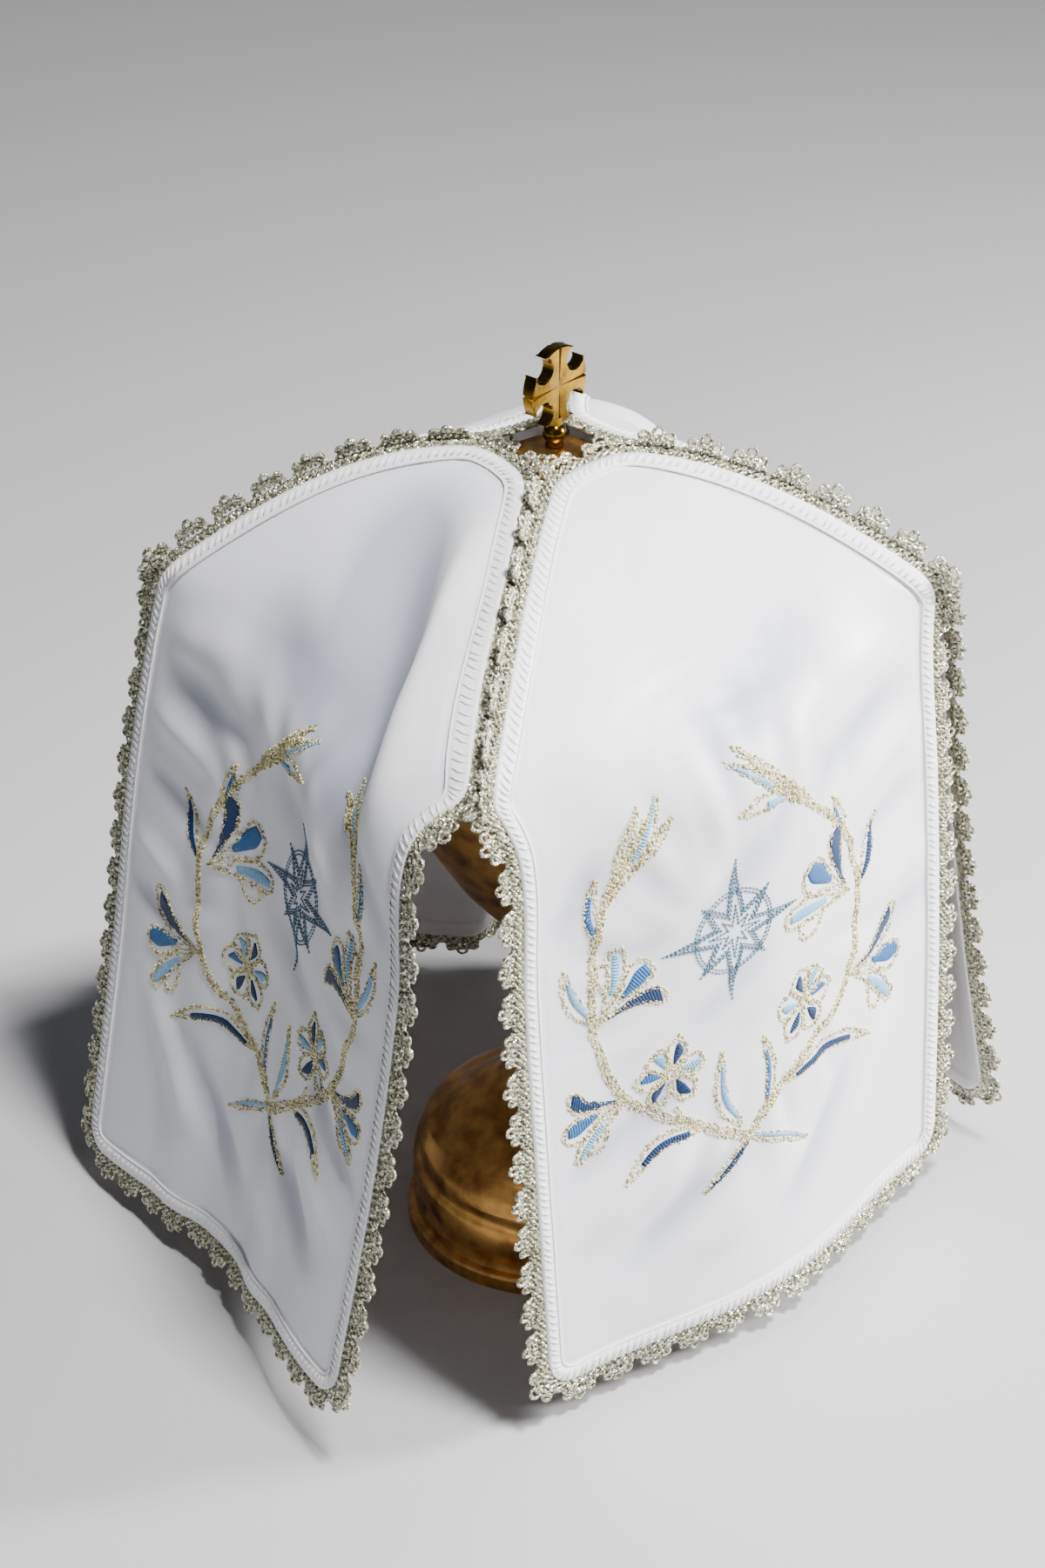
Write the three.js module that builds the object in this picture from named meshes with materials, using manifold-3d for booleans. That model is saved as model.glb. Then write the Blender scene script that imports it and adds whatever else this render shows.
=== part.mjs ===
// A ciborium veil of four satin panels edged with lace, hung on a plain ciborium.
// Millimetres, +Z up, the gap between the two front panels faces -Y.
import * as THREE from "three";
import Module from "manifold-3d";

// Veil: each panel is a home-plate shape, its square corner at the top ring.
const PANEL_WIDTH = 170;
const HALF = PANEL_WIDTH / 2;
const SIDE = 209;
const HEM = HALF + SIDE;
const CLOTH_THICK = 1.4;
const LACE_THICK = 1.2;
const SEAM_MARGIN = 3;
const TOP_CUT = 15.5;
const TOP_SOFT = 5;
const SHOULDER_ROUND = 7;
const CORNER_ROUND = 10;
const FIT_GAP = 0.3;

// Lace: a comb of scallops along the free edges, a narrow strip along the seams.
const LACE_CROWN = 8.7;
const LACE_VALLEY = 6.2;
const LACE_SEAM = 2.3;
const LACE_TOP = 4.2;
const LACE_RAMP = 58;

// Shape of the crown that the seams follow, from the top ring out to the shoulders.
const CROWN_Z = 266;
const DROOP = 0.0036;
const BEND_REACH = 26;

const COLUMNS = 16;
const ROWS = 16;

// Seams run out from the axis: azimuth in degrees, plan reach of the shoulder, and
// how much higher the middle stands than the common crown line.
const SEAMS = {
  front: { azimuth: -100, reach: 112, arch: 0 },
  right: { azimuth: 2.6, reach: 108.5, arch: 1.5 },
  back: { azimuth: 88, reach: 112, arch: 1.5 },
  left: { azimuth: 169.4, reach: 114, arch: 3 },
};

// Free edges in plan. down is the share of the side below the shoulder.
// Folds: at and half are shares of the width, shoulder and hem their relative height,
// and deepest limits how far the fullness goes into them.
const PANELS = {
  front_left: {
    seams: ["left", "front"],
    edges: [
      { down: 0.12, left: [-117.6, 20.5], right: [-37.5, -113] },
      { down: 0.34, left: [-126, 19.6], right: [-41, -116] },
      { down: 0.62, left: [-134, 18.4], right: [-48.5, -117] },
      { down: 1, left: [-146.5, 17], right: [-62, -118] },
    ],
    deepest: 9,
    folds: [
      { at: 0.88, half: 0.12, shoulder: 1, hem: 0 },
      { at: 0.47, half: 0.47, shoulder: 0, hem: -1 },
      { at: 0.3, half: 0.1, shoulder: 0, hem: 0.2 },
      { at: 0.62, half: 0.1, shoulder: 0, hem: 0.2 },
    ],
  },
  front_right: {
    seams: ["front", "right"],
    edges: [
      { down: 0.12, left: [-10, -109.3], right: [108.8, 5.6] },
      { down: 0.34, left: [-8.6, -107.8], right: [113.3, 7.1] },
      { down: 0.62, left: [-5.5, -106.2], right: [117.5, 8.6] },
      { down: 1, left: [-1, -104], right: [121.3, 11] },
    ],
    deepest: 14,
    folds: [{ at: 0.5, half: 0.5, shoulder: 1, hem: 1 }],
  },
  back_right: {
    seams: ["right", "back"],
    edges: [
      { down: 0.12, left: [113.5, 14.2], right: [11, 114] },
      { down: 0.34, left: [118.5, 18.5], right: [17, 116] },
      { down: 0.62, left: [126.5, 23.5], right: [21, 121] },
      { down: 1, left: [140, 31], right: [22, 132] },
    ],
    deepest: 24,
    folds: [
      { at: 0.28, half: 0.28, shoulder: 0.1, hem: 0.8 },
      { at: 0.54, half: 0.2, shoulder: -0.5, hem: -0.5 },
      { at: 0.79, half: 0.21, shoulder: 0.4, hem: 0.9 },
    ],
  },
  back_left: {
    seams: ["back", "left"],
    edges: [
      { down: 0.12, left: [-3, 114], right: [-115.5, 33.5] },
      { down: 0.34, left: [-8, 116], right: [-120, 42] },
      { down: 0.62, left: [-13, 121], right: [-124, 49] },
      { down: 1, left: [-20, 134], right: [-128, 56] },
    ],
    deepest: 24,
    folds: [
      { at: 0.24, half: 0.24, shoulder: -0.25, hem: 0.9 },
      { at: 0.5, half: 0.2, shoulder: -0.5, hem: -0.55 },
      { at: 0.76, half: 0.24, shoulder: -0.25, hem: 0.75 },
    ],
  },
};

// Ciborium, as turned profiles of radius and height.
const TURN_STEPS = 48;
const RIM_Z = 205;
const LID_TOP = 265.5;
const CUP_PROFILE = [
  { r: 45, z: 0 },
  { r: 45, z: 5 },
  { r: 42.5, z: 6 },
  { r: 43.5, z: 15 },
  { r: 42.5, z: 26 },
  { r: 38.5, z: 36 },
  { r: 29, z: 44 },
  { r: 18, z: 51 },
  { r: 11, z: 62 },
  { r: 9.5, z: 80 },
  { r: 10, z: 104 },
  { r: 22, z: 118 },
  { r: 34, z: 135 },
  { r: 45, z: 156 },
  { r: 52, z: 180 },
  { r: 54, z: RIM_Z },
];
const LID_PROFILE = [
  { r: 55, z: RIM_Z + FIT_GAP },
  { r: 55, z: RIM_Z + 4 },
  { r: 51, z: RIM_Z + 8 },
  { r: 44, z: 224.5 },
  { r: 36, z: 236.5 },
  { r: 27, z: 249 },
  { r: 19, z: 258.5 },
  { r: 11, z: 264 },
  { r: 4, z: LID_TOP },
];

// Finial: neck, ball and a cross with flared arms whose ends lie on a circle.
const NECK_RADIUS = 2.6;
const BALL_RADIUS = 3.4;
const BALL_Z = 269.5;
const CROSS_Z = 283.8;
const CROSS_RADIUS = 12;
const CROSS_THICK = 4;
const CROSS_TURN = 50;
const NOTCH_RADIUS = 3.7;
const NOTCH_REACH = 9.3;

const COLOURS = {
  satin: 0xf4f4f6,
  lace: 0xb9b4a2,
  gilt: 0xc8942c,
};

const smooth = (a, b, x) => {
  const t = Math.min(1, Math.max(0, (x - a) / (b - a)));
  return t * t * (3 - 2 * t);
};
const bump = (t) => (Math.abs(t) < 1 ? Math.cos((Math.PI * t) / 2) ** 2 : 0);
const mix = (a, b, t) => a + (b - a) * t;
const add = (a, b, k = 1) => a.map((value, i) => value + k * b[i]);
const minus = (a, b) => add(a, b, -1);
const length = (a) => Math.hypot(...a);
const scale = (a, k) => a.map((value) => value * k);
const unit = (a) => scale(a, 1 / length(a));
const cross = (a, b) => [
  a[1] * b[2] - a[2] * b[1],
  a[2] * b[0] - a[0] * b[2],
  a[0] * b[1] - a[1] * b[0],
];

// Length of the drooping crown line from the axis out to a plan reach.
function crownRun(reach) {
  const slope = 2 * DROOP * reach;
  return (reach / 2) * Math.sqrt(1 + slope * slope) + Math.asinh(slope) / (4 * DROOP);
}

// Point on a seam at a flat distance below the panel's own corner.
function seamPoint(name, drop) {
  const seam = SEAMS[name];
  const target = (crownRun(seam.reach) * drop) / HALF;
  let low = 0;
  let high = seam.reach * 1.2;
  for (let i = 0; i < 40; i += 1) {
    const middle = (low + high) / 2;
    if (crownRun(middle) < target) low = middle;
    else high = middle;
  }
  const angle = (seam.azimuth * Math.PI) / 180;
  const arch = seam.arch * bump((2 * low) / seam.reach - 1);
  return [low * Math.cos(angle), low * Math.sin(angle), CROWN_Z - DROOP * low * low + arch];
}

// Smooth curve through rows of a table, with slopes taken from the neighbours.
function along(rows, key, t) {
  let i = 0;
  while (i < rows.length - 2 && t > rows[i + 1].down) i += 1;
  const slopeAt = (n) => {
    const a = rows[Math.max(0, n - 1)];
    const b = rows[Math.min(rows.length - 1, n + 1)];
    return scale(minus(b[key], a[key]), 1 / (b.down - a.down));
  };
  const from = rows[i];
  const to = rows[i + 1];
  const span = to.down - from.down;
  const q = (t - from.down) / span;
  const h = [2 * q ** 3 - 3 * q * q + 1, q ** 3 - 2 * q * q + q, 3 * q * q - 2 * q ** 3, q ** 3 - q * q];
  let point = scale(from[key], h[0]);
  point = add(point, slopeAt(i), h[1] * span);
  point = add(point, to[key], h[2]);
  return add(point, slopeAt(i + 1), h[3] * span);
}

// Height along a free edge, so that the edge keeps its sewn length.
function edgeHeights(rows, key, top) {
  const steps = 80;
  const heights = [top];
  let before = along(rows, key, 0);
  for (let i = 1; i <= steps; i += 1) {
    const here = along(rows, key, i / steps);
    const plan = length(minus(here, before));
    const run = SIDE / steps;
    heights.push(heights[i - 1] - Math.sqrt(Math.max(run * run - plan * plan, 0.04 * run * run)));
    before = here;
  }
  return (t) => {
    const place = Math.min(Math.max(t, 0), 1) * steps;
    const i = Math.min(Math.floor(place), steps - 1);
    return mix(heights[i], heights[i + 1], place - i);
  };
}

// Builds the surface of one panel: flat place (x across, v down) to a point in space.
function panelSurface(panel) {
  const [leftSeam, rightSeam] = panel.seams;
  const start = { down: 0, left: seamPoint(leftSeam, HALF), right: seamPoint(rightSeam, HALF) };
  const rows = [{ down: 0, left: start.left.slice(0, 2), right: start.right.slice(0, 2) }];
  rows.push(...panel.edges);
  const leftHeight = edgeHeights(rows, "left", start.left[2]);
  const rightHeight = edgeHeights(rows, "right", start.right[2]);

  const ends = (v) => {
    if (v <= HALF) return [seamPoint(leftSeam, v), seamPoint(rightSeam, v)];
    const t = (v - HALF) / SIDE;
    const left = [...along(rows, "left", t), leftHeight(t)];
    const right = [...along(rows, "right", t), rightHeight(t)];
    return [left, right];
  };
  const foldShape = (s, v) => {
    const t = smooth(HALF * 0.8, HALF * 1.8, v);
    return panel.folds.reduce(
      (sum, fold) => sum + mix(fold.shoulder, fold.hem, t) * bump((s - fold.at) / fold.half),
      0,
    );
  };
  const section = (v) => {
    const [left, right] = ends(v);
    const chord = minus(right, left);
    const width = 2 * Math.min(v, HALF);
    const lift = mix(1.05, 0, smooth(HALF * 0.6, HALF * 1.5, v));
    const out = unit([chord[1], -chord[0], 0]);
    const normal = [out[0] * Math.cos(lift), out[1] * Math.cos(lift), Math.sin(lift)];
    const runOf = (k) => {
      let sum = 0;
      let before = 0;
      const step = 1 / 48;
      for (let i = 1; i <= 48; i += 1) {
        const here = k * foldShape(i * step, v);
        sum += Math.hypot(length(chord) * step, here - before);
        before = here;
      }
      return sum;
    };
    let low = 0;
    let high = panel.deepest;
    for (let i = 0; i < 24; i += 1) {
      const middle = (low + high) / 2;
      if (runOf(middle) < width) low = middle;
      else high = middle;
    }
    const depth = low * smooth(HALF * 0.3, HALF * 1.05, v);
    return { left, chord, normal, depth, width };
  };

  const cache = new Map();
  const sectionAt = (v) => {
    const key = Math.round(v * 20) / 20;
    if (!cache.has(key)) cache.set(key, section(key));
    return cache.get(key);
  };
  const bare = (x, v) => {
    const line = sectionAt(Math.min(Math.max(v, 2), HEM));
    const s = x / line.width + 0.5;
    const inside = Math.min(1, Math.max(0, s));
    const point = add(line.left, line.chord, s);
    return add(point, line.normal, line.depth * foldShape(inside, v));
  };
  // The bend over the shoulders is eased away from the edges.
  const eased = (x, v) => {
    const room = Math.max(0, 1 - (x / HALF) ** 2);
    const reach = BEND_REACH * room * bump((v - HALF) / (HALF * 1.1));
    if (reach < 0.5) return bare(x, v);
    let point = [0, 0, 0];
    let total = 0;
    for (let i = -3; i <= 3; i += 1) {
      const weight = 4 - Math.abs(i);
      point = add(point, bare(x, v + (reach * i) / 3), weight);
      total += weight;
    }
    return scale(point, 1 / total);
  };
  // Beyond the sides and the hem the surface runs straight on.
  const place = (x, v) => {
    const cx = Math.min(Math.max(x, -HALF), HALF);
    const cv = Math.min(v, HEM);
    const base = eased(cx, cv);
    const inX = cx > 0 ? -2 : 2;
    let point = base;
    if (cx !== x) point = add(point, minus(base, eased(cx + inX, cv)), (x - cx) / -inX);
    if (cv !== v) point = add(point, minus(base, eased(cx, cv - 2)), (v - cv) / 2);
    return point;
  };
  const normalAt = (x, v) => {
    const across = minus(place(x + 1, v), place(x - 1, v));
    const down = minus(place(x, v + 1), place(x, v - 1));
    return unit(cross(down, across));
  };
  return (x, v, offset) => add(place(x, v), normalAt(x, v), offset);
}

// Flat outline: top and bottom limits of the cloth at a place across the width.
function topLimit(x) {
  const slant = Math.abs(x) + SEAM_MARGIN * Math.SQRT2;
  return (slant + TOP_CUT + Math.hypot(slant - TOP_CUT, TOP_SOFT)) / 2;
}
function roundIn(x, radius) {
  const past = Math.max(0, Math.abs(x) - (HALF - radius));
  return radius - Math.sqrt(Math.max(0, radius * radius - past * past));
}
const upper = (x) => topLimit(x) + 0.55 * roundIn(x, SHOULDER_ROUND);
const lower = (x) => HEM - roundIn(x, CORNER_ROUND);

// Closed mesh from indexed points, as a solid that faces outward.
function solidOf(points, faces) {
  const geometry = new THREE.BufferGeometry();
  geometry.setAttribute("position", new THREE.Float32BufferAttribute(points.flat(), 3));
  geometry.setIndex(faces.flat());
  geometry.computeVertexNormals();
  return geometry;
}

// Flat places of the cloth grid, row by row, closer together towards the sides.
function clothGrid() {
  const grid = [];
  for (let row = 0; row <= ROWS; row += 1) {
    for (let column = 0; column <= COLUMNS; column += 1) {
      const u = (2 * column) / COLUMNS - 1;
      const x = HALF * u * (1.12 - 0.12 * u ** 4);
      grid.push([x, mix(upper(x), lower(x), row / ROWS)]);
    }
  }
  return grid;
}
const gridIndex = (row, column) => row * (COLUMNS + 1) + column;

// Grid indices round the rim, from the upper left corner along the top.
function rimIndices() {
  const rim = [];
  for (let column = 0; column < COLUMNS; column += 1) rim.push(gridIndex(0, column));
  for (let row = 0; row < ROWS; row += 1) rim.push(gridIndex(row, COLUMNS));
  for (let column = COLUMNS; column > 0; column -= 1) rim.push(gridIndex(ROWS, column));
  for (let row = ROWS; row > 0; row -= 1) rim.push(gridIndex(row, 0));
  return rim;
}

// Cloth of one panel: two faces over a grid, closed round the rim.
function clothSolid(surface) {
  const grid = clothGrid();
  const side = grid.length;
  const points = [];
  const faces = [];
  for (const offset of [CLOTH_THICK / 2, -CLOTH_THICK / 2]) {
    grid.forEach(([x, v]) => points.push(surface(x, v, offset)));
  }
  for (let row = 0; row < ROWS; row += 1) {
    for (let column = 0; column < COLUMNS; column += 1) {
      const [a, b] = [gridIndex(row, column), gridIndex(row, column + 1)];
      const [c, d] = [gridIndex(row + 1, column + 1), gridIndex(row + 1, column)];
      faces.push([a, d, c], [a, c, b], [side + a, side + c, side + d], [side + a, side + b, side + c]);
    }
  }
  const rim = rimIndices();
  rim.forEach((a, i) => {
    const b = rim[(i + 1) % rim.length];
    faces.push([a, b, side + b], [a, side + b, side + a]);
  });
  return solidOf(points, faces);
}

// How far the lace reaches out from a place on the rim, at a crown or a valley.
function laceReach(x, v, crown) {
  const full = crown ? LACE_CROWN : LACE_VALLEY;
  const seam = mix(LACE_TOP, LACE_SEAM, smooth(8, 24, Math.abs(x)));
  const below = v - (Math.abs(x) + SEAM_MARGIN * Math.SQRT2);
  return mix(seam, full, smooth(6, LACE_RAMP, below));
}

// Lace of one panel: a closed strip round the cloth, scalloped on its free edges.
function laceSolid(surface) {
  const grid = clothGrid();
  const rim = rimIndices().map((index) => grid[index]);
  const count = rim.length;
  const outAt = rim.map((_, i) => {
    const step = minus(rim[(i + 1) % count], rim[(i + count - 1) % count]);
    return unit([step[1], -step[0]]);
  });
  const inner = rim.map((flat, i) => add(flat, outAt[i], FIT_GAP));
  const heights = [LACE_THICK / 2, -LACE_THICK / 2];
  const points = [];
  for (let i = 0; i < count; i += 1) {
    const n = (i + 1) % count;
    const crown = add(rim[i], outAt[i], laceReach(...rim[i], true));
    const middle = scale(add(rim[i], rim[n]), 0.5);
    const out = unit(add(outAt[i], outAt[n]));
    const valley = add(middle, out, laceReach(...middle, false));
    const near = heights.map((height) => surface(...inner[i], height));
    const next = heights.map((height) => surface(...inner[n], height));
    const between = near.map((point, k) => scale(add(point, next[k]), 0.5));
    points.push(near[0], surface(...crown, heights[0]), surface(...crown, heights[1]), near[1]);
    points.push(between[0], surface(...valley, heights[0]), surface(...valley, heights[1]), between[1]);
  }
  const faces = [];
  for (let i = 0; i < 2 * count; i += 1) {
    const a = 4 * i;
    const b = 4 * ((i + 1) % (2 * count));
    for (let k = 0; k < 4; k += 1) {
      const n = (k + 1) % 4;
      faces.push([a + k, b + n, a + n], [a + k, b + k, b + n]);
    }
  }
  return solidOf(points, faces);
}

// Turned solid from a profile of rows, closed flat at both ends.
function turnedSolid(profile) {
  const outline = [new THREE.Vector2(0, profile[0].z)];
  profile.forEach((row) => outline.push(new THREE.Vector2(row.r, row.z)));
  outline.push(new THREE.Vector2(0, profile[profile.length - 1].z));
  const geometry = new THREE.LatheGeometry(outline, TURN_STEPS);
  geometry.rotateX(Math.PI / 2);
  return geometry;
}

// Finial: neck and ball turned in one with the flared cross standing on them.
function finialSolid(kernel) {
  const { Manifold, CrossSection } = kernel;
  const disc = CrossSection.circle(CROSS_RADIUS, 48);
  let outline = disc;
  for (const turn of [45, 135, 225, 315]) {
    const angle = (turn * Math.PI) / 180;
    const place = [NOTCH_REACH * Math.cos(angle), NOTCH_REACH * Math.sin(angle)];
    outline = outline.subtract(CrossSection.circle(NOTCH_RADIUS, 20).translate(place));
    const mouth = CrossSection.square([6, 1.6], true).translate([NOTCH_REACH + 2.6, 0]);
    outline = outline.subtract(mouth.rotate(turn));
  }
  const cross = Manifold.extrude(outline, CROSS_THICK, 0, 0, [1, 1], true)
    .rotate([90, 0, 0])
    .rotate([0, 0, CROSS_TURN])
    .translate([0, 0, CROSS_Z]);
  const neckFoot = LID_TOP + FIT_GAP;
  const neck = Manifold.cylinder(CROSS_Z - CROSS_RADIUS + 3 - neckFoot, NECK_RADIUS, NECK_RADIUS, 20)
    .translate([0, 0, neckFoot]);
  const ball = Manifold.sphere(BALL_RADIUS, 20).translate([0, 0, BALL_Z]);
  return cross.add(neck).add(ball);
}

function geometryOf(solid) {
  const mesh = solid.getMesh();
  const geometry = new THREE.BufferGeometry();
  const stride = mesh.numProp;
  const points = [];
  for (let i = 0; i < mesh.vertProperties.length; i += stride) {
    points.push(mesh.vertProperties[i], mesh.vertProperties[i + 1], mesh.vertProperties[i + 2]);
  }
  geometry.setAttribute("position", new THREE.Float32BufferAttribute(points, 3));
  geometry.setIndex(Array.from(mesh.triVerts));
  geometry.computeVertexNormals();
  return geometry;
}

const kernel = await Module();
kernel.setup();

const group = new THREE.Group();
group.name = "ciborium_veil";

function addPiece(name, geometry, finish) {
  const material = new THREE.MeshStandardMaterial({ color: COLOURS[finish] });
  material.name = finish;
  material.metalness = finish === "satin" ? 0 : 0.9;
  material.roughness = finish === "satin" ? 0.6 : 0.35;
  const mesh = new THREE.Mesh(geometry, material);
  mesh.name = name;
  group.add(mesh);
}

for (const [name, panel] of Object.entries(PANELS)) {
  const surface = panelSurface(panel);
  addPiece(`panel_${name}`, clothSolid(surface), "satin");
  addPiece(`lace_${name}`, laceSolid(surface), "lace");
}
addPiece("ciborium_cup", turnedSolid(CUP_PROFILE), "gilt");
addPiece("ciborium_lid", turnedSolid(LID_PROFILE), "gilt");
addPiece("finial_cross", geometryOf(finialSolid(kernel)), "gilt");

export default group;
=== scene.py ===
"""Looks of a ciborium veil: four satin panels, lace and needlework on a gilt ciborium."""

import logging
import math
from collections.abc import Callable
from dataclasses import dataclass, field
from enum import Enum

import bmesh
import bpy
import numpy as np
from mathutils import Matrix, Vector
from mathutils.geometry import tessellate_polygon


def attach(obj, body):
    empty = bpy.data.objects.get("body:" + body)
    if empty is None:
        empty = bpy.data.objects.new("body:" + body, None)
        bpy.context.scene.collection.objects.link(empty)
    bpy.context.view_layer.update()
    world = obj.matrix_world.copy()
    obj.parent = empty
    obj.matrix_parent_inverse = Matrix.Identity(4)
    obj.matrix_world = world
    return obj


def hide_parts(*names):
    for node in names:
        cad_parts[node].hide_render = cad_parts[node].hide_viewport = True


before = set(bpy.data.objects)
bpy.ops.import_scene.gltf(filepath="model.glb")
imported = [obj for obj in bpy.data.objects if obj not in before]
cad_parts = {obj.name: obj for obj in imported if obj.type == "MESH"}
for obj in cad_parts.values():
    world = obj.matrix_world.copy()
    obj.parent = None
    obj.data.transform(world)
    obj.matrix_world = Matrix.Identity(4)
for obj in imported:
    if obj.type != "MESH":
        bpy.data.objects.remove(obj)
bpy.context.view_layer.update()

MM = 0.001
LOG = logging.getLogger("veil")


# Small tools


def smooth(low: float, high: float, value: np.ndarray) -> np.ndarray:
    """Eased step from 0 at low to 1 at high.

    Args:
        low: Value where the step starts.
        high: Value where it ends.
        value: Values to step.

    Returns:
        The eased share, from 0 to 1.
    """
    share = np.clip((np.asarray(value, float) - low) / (high - low), 0.0, 1.0)
    return share * share * (3.0 - 2.0 * share)


def hump(value: np.ndarray) -> np.ndarray:
    """Smooth hump of height 1 at 0 that ends at -1 and 1."""
    value = np.asarray(value, float)
    return np.where(np.abs(value) < 1.0, np.cos(np.pi * value / 2.0) ** 2, 0.0)


def unit(vectors: np.ndarray) -> np.ndarray:
    """Vectors along the last axis at length 1."""
    return vectors / np.maximum(np.linalg.norm(vectors, axis=-1, keepdims=True), 1e-9)


def spline(points: list[tuple[float, float]], step: float = 0.7) -> np.ndarray:
    """Smooth flat line through a few points.

    Args:
        points: Places the line passes, in millimetres.
        step: Spacing of the returned places.

    Returns:
        Evenly spaced places along the line.
    """
    knots = np.array(points, float)
    padded = np.vstack([2 * knots[0] - knots[1], knots, 2 * knots[-1] - knots[-2]])
    share = np.linspace(0, 1, 24, endpoint=False)[:, None]
    runs = []
    for i in range(len(knots) - 1):
        a, b, c, d = padded[i:i + 4]
        cubic = (2 * a - 5 * b + 4 * c - d) * share**2 + (3 * b - a - 3 * c + d) * share**3
        runs.append(0.5 * (2 * b + (c - a) * share + cubic))
    return respace(np.vstack([*runs, knots[-1:]]), step)


def respace(line: np.ndarray, step: float) -> np.ndarray:
    """The same line with even spacing.

    Args:
        line: Places along a line.
        step: Wanted spacing.

    Returns:
        Evenly spaced places, both ends kept.
    """
    run = np.concatenate([[0], np.cumsum(np.linalg.norm(np.diff(line, axis=0), axis=1))])
    count = max(2, int(round(run[-1] / step)) + 1)
    marks = np.linspace(0, run[-1], count)
    return np.stack([np.interp(marks, run, line[:, k]) for k in range(line.shape[1])], axis=1)


def mesh_object(
    name: str,
    points: np.ndarray,
    faces: list | np.ndarray,
    material: bpy.types.Material,
    uv: np.ndarray | None = None,
) -> bpy.types.Object:
    """Makes an object from arrays, with its place in its mesh.

    Args:
        name: Object name.
        points: Vertices in metres.
        faces: Vertex indices of each face.
        material: Finish of the whole piece.
        uv: Flat place of each vertex, if the finish reads it.

    Returns:
        The new object, linked to the scene.
    """
    mesh = bpy.data.meshes.new(name)
    mesh.from_pydata(np.asarray(points).tolist(), [], [list(map(int, f)) for f in faces])
    mesh.validate()
    mesh.materials.append(material)
    if uv is not None:
        layer = mesh.uv_layers.new(name="flat")
        corner = np.empty(len(mesh.loops), dtype=np.int32)
        mesh.loops.foreach_get("vertex_index", corner)
        layer.data.foreach_set("uv", np.asarray(uv, np.float32)[corner].ravel())
    mesh.polygons.foreach_set("use_smooth", [True] * len(mesh.polygons))
    mesh.update()
    piece = bpy.data.objects.new(name, mesh)
    bpy.context.scene.collection.objects.link(piece)
    return piece


def sweep(
    paths: np.ndarray, normals: np.ndarray, radius: float, sides: int, closed: bool
) -> tuple[np.ndarray, list]:
    """Round cords along many paths of equal point count.

    Args:
        paths: Centre lines, shaped (paths, points, 3).
        normals: Surface normals at the same points.
        radius: Cord radius.
        sides: Corners of the cord's section.
        closed: Whether each path runs back into its start.

    Returns:
        Vertices and faces of all the cords.
    """
    if closed:
        tangent = np.roll(paths, -1, axis=1) - np.roll(paths, 1, axis=1)
    else:
        tangent = np.gradient(paths, axis=1)
    tangent = unit(tangent)
    side = unit(np.cross(tangent, normals))
    top = np.cross(side, tangent)
    angle = np.arange(sides) * 2 * np.pi / sides
    ring = np.cos(angle)[:, None] * top[:, :, None, :] + np.sin(angle)[:, None] * side[:, :, None, :]
    points = paths[:, :, None, :] + radius * ring
    lines, count = paths.shape[:2]
    index = np.arange(lines * count * sides).reshape(lines, count, sides)
    here = index if closed else index[:, :-1]
    ahead = np.roll(index, -1, axis=1) if closed else index[:, 1:]
    quads = np.stack(
        [here, np.roll(here, -1, axis=2), np.roll(ahead, -1, axis=2), ahead], axis=-1
    ).reshape(-1, 4)
    faces = quads.tolist()
    if not closed:
        faces += index[:, 0, ::-1].tolist() + index[:, -1].tolist()
    return points.reshape(-1, 3), faces


def sheet_faces(rows: int, columns: int) -> np.ndarray:
    """Faces of a closed sheet: a grid for its face, a like grid for its back, and the rim.

    Args:
        rows: Rows of points in a grid.
        columns: Points in a row.

    Returns:
        Vertex indices of the quads.
    """
    index = np.arange(rows * columns).reshape(rows, columns)
    a, b = index[:-1, :-1].ravel(), index[:-1, 1:].ravel()
    c, d = index[1:, 1:].ravel(), index[1:, :-1].ravel()
    face, back = np.stack([a, d, c, b], axis=1), np.stack([a, b, c, d], axis=1) + index.size
    rim = np.concatenate([index[0, :-1], index[:-1, -1], index[-1, :0:-1], index[:0:-1, 0]])
    ahead = np.roll(rim, -1)
    return np.vstack([face, back, np.stack([rim, ahead, ahead + index.size, rim + index.size], axis=1)])


# Finishes


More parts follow.
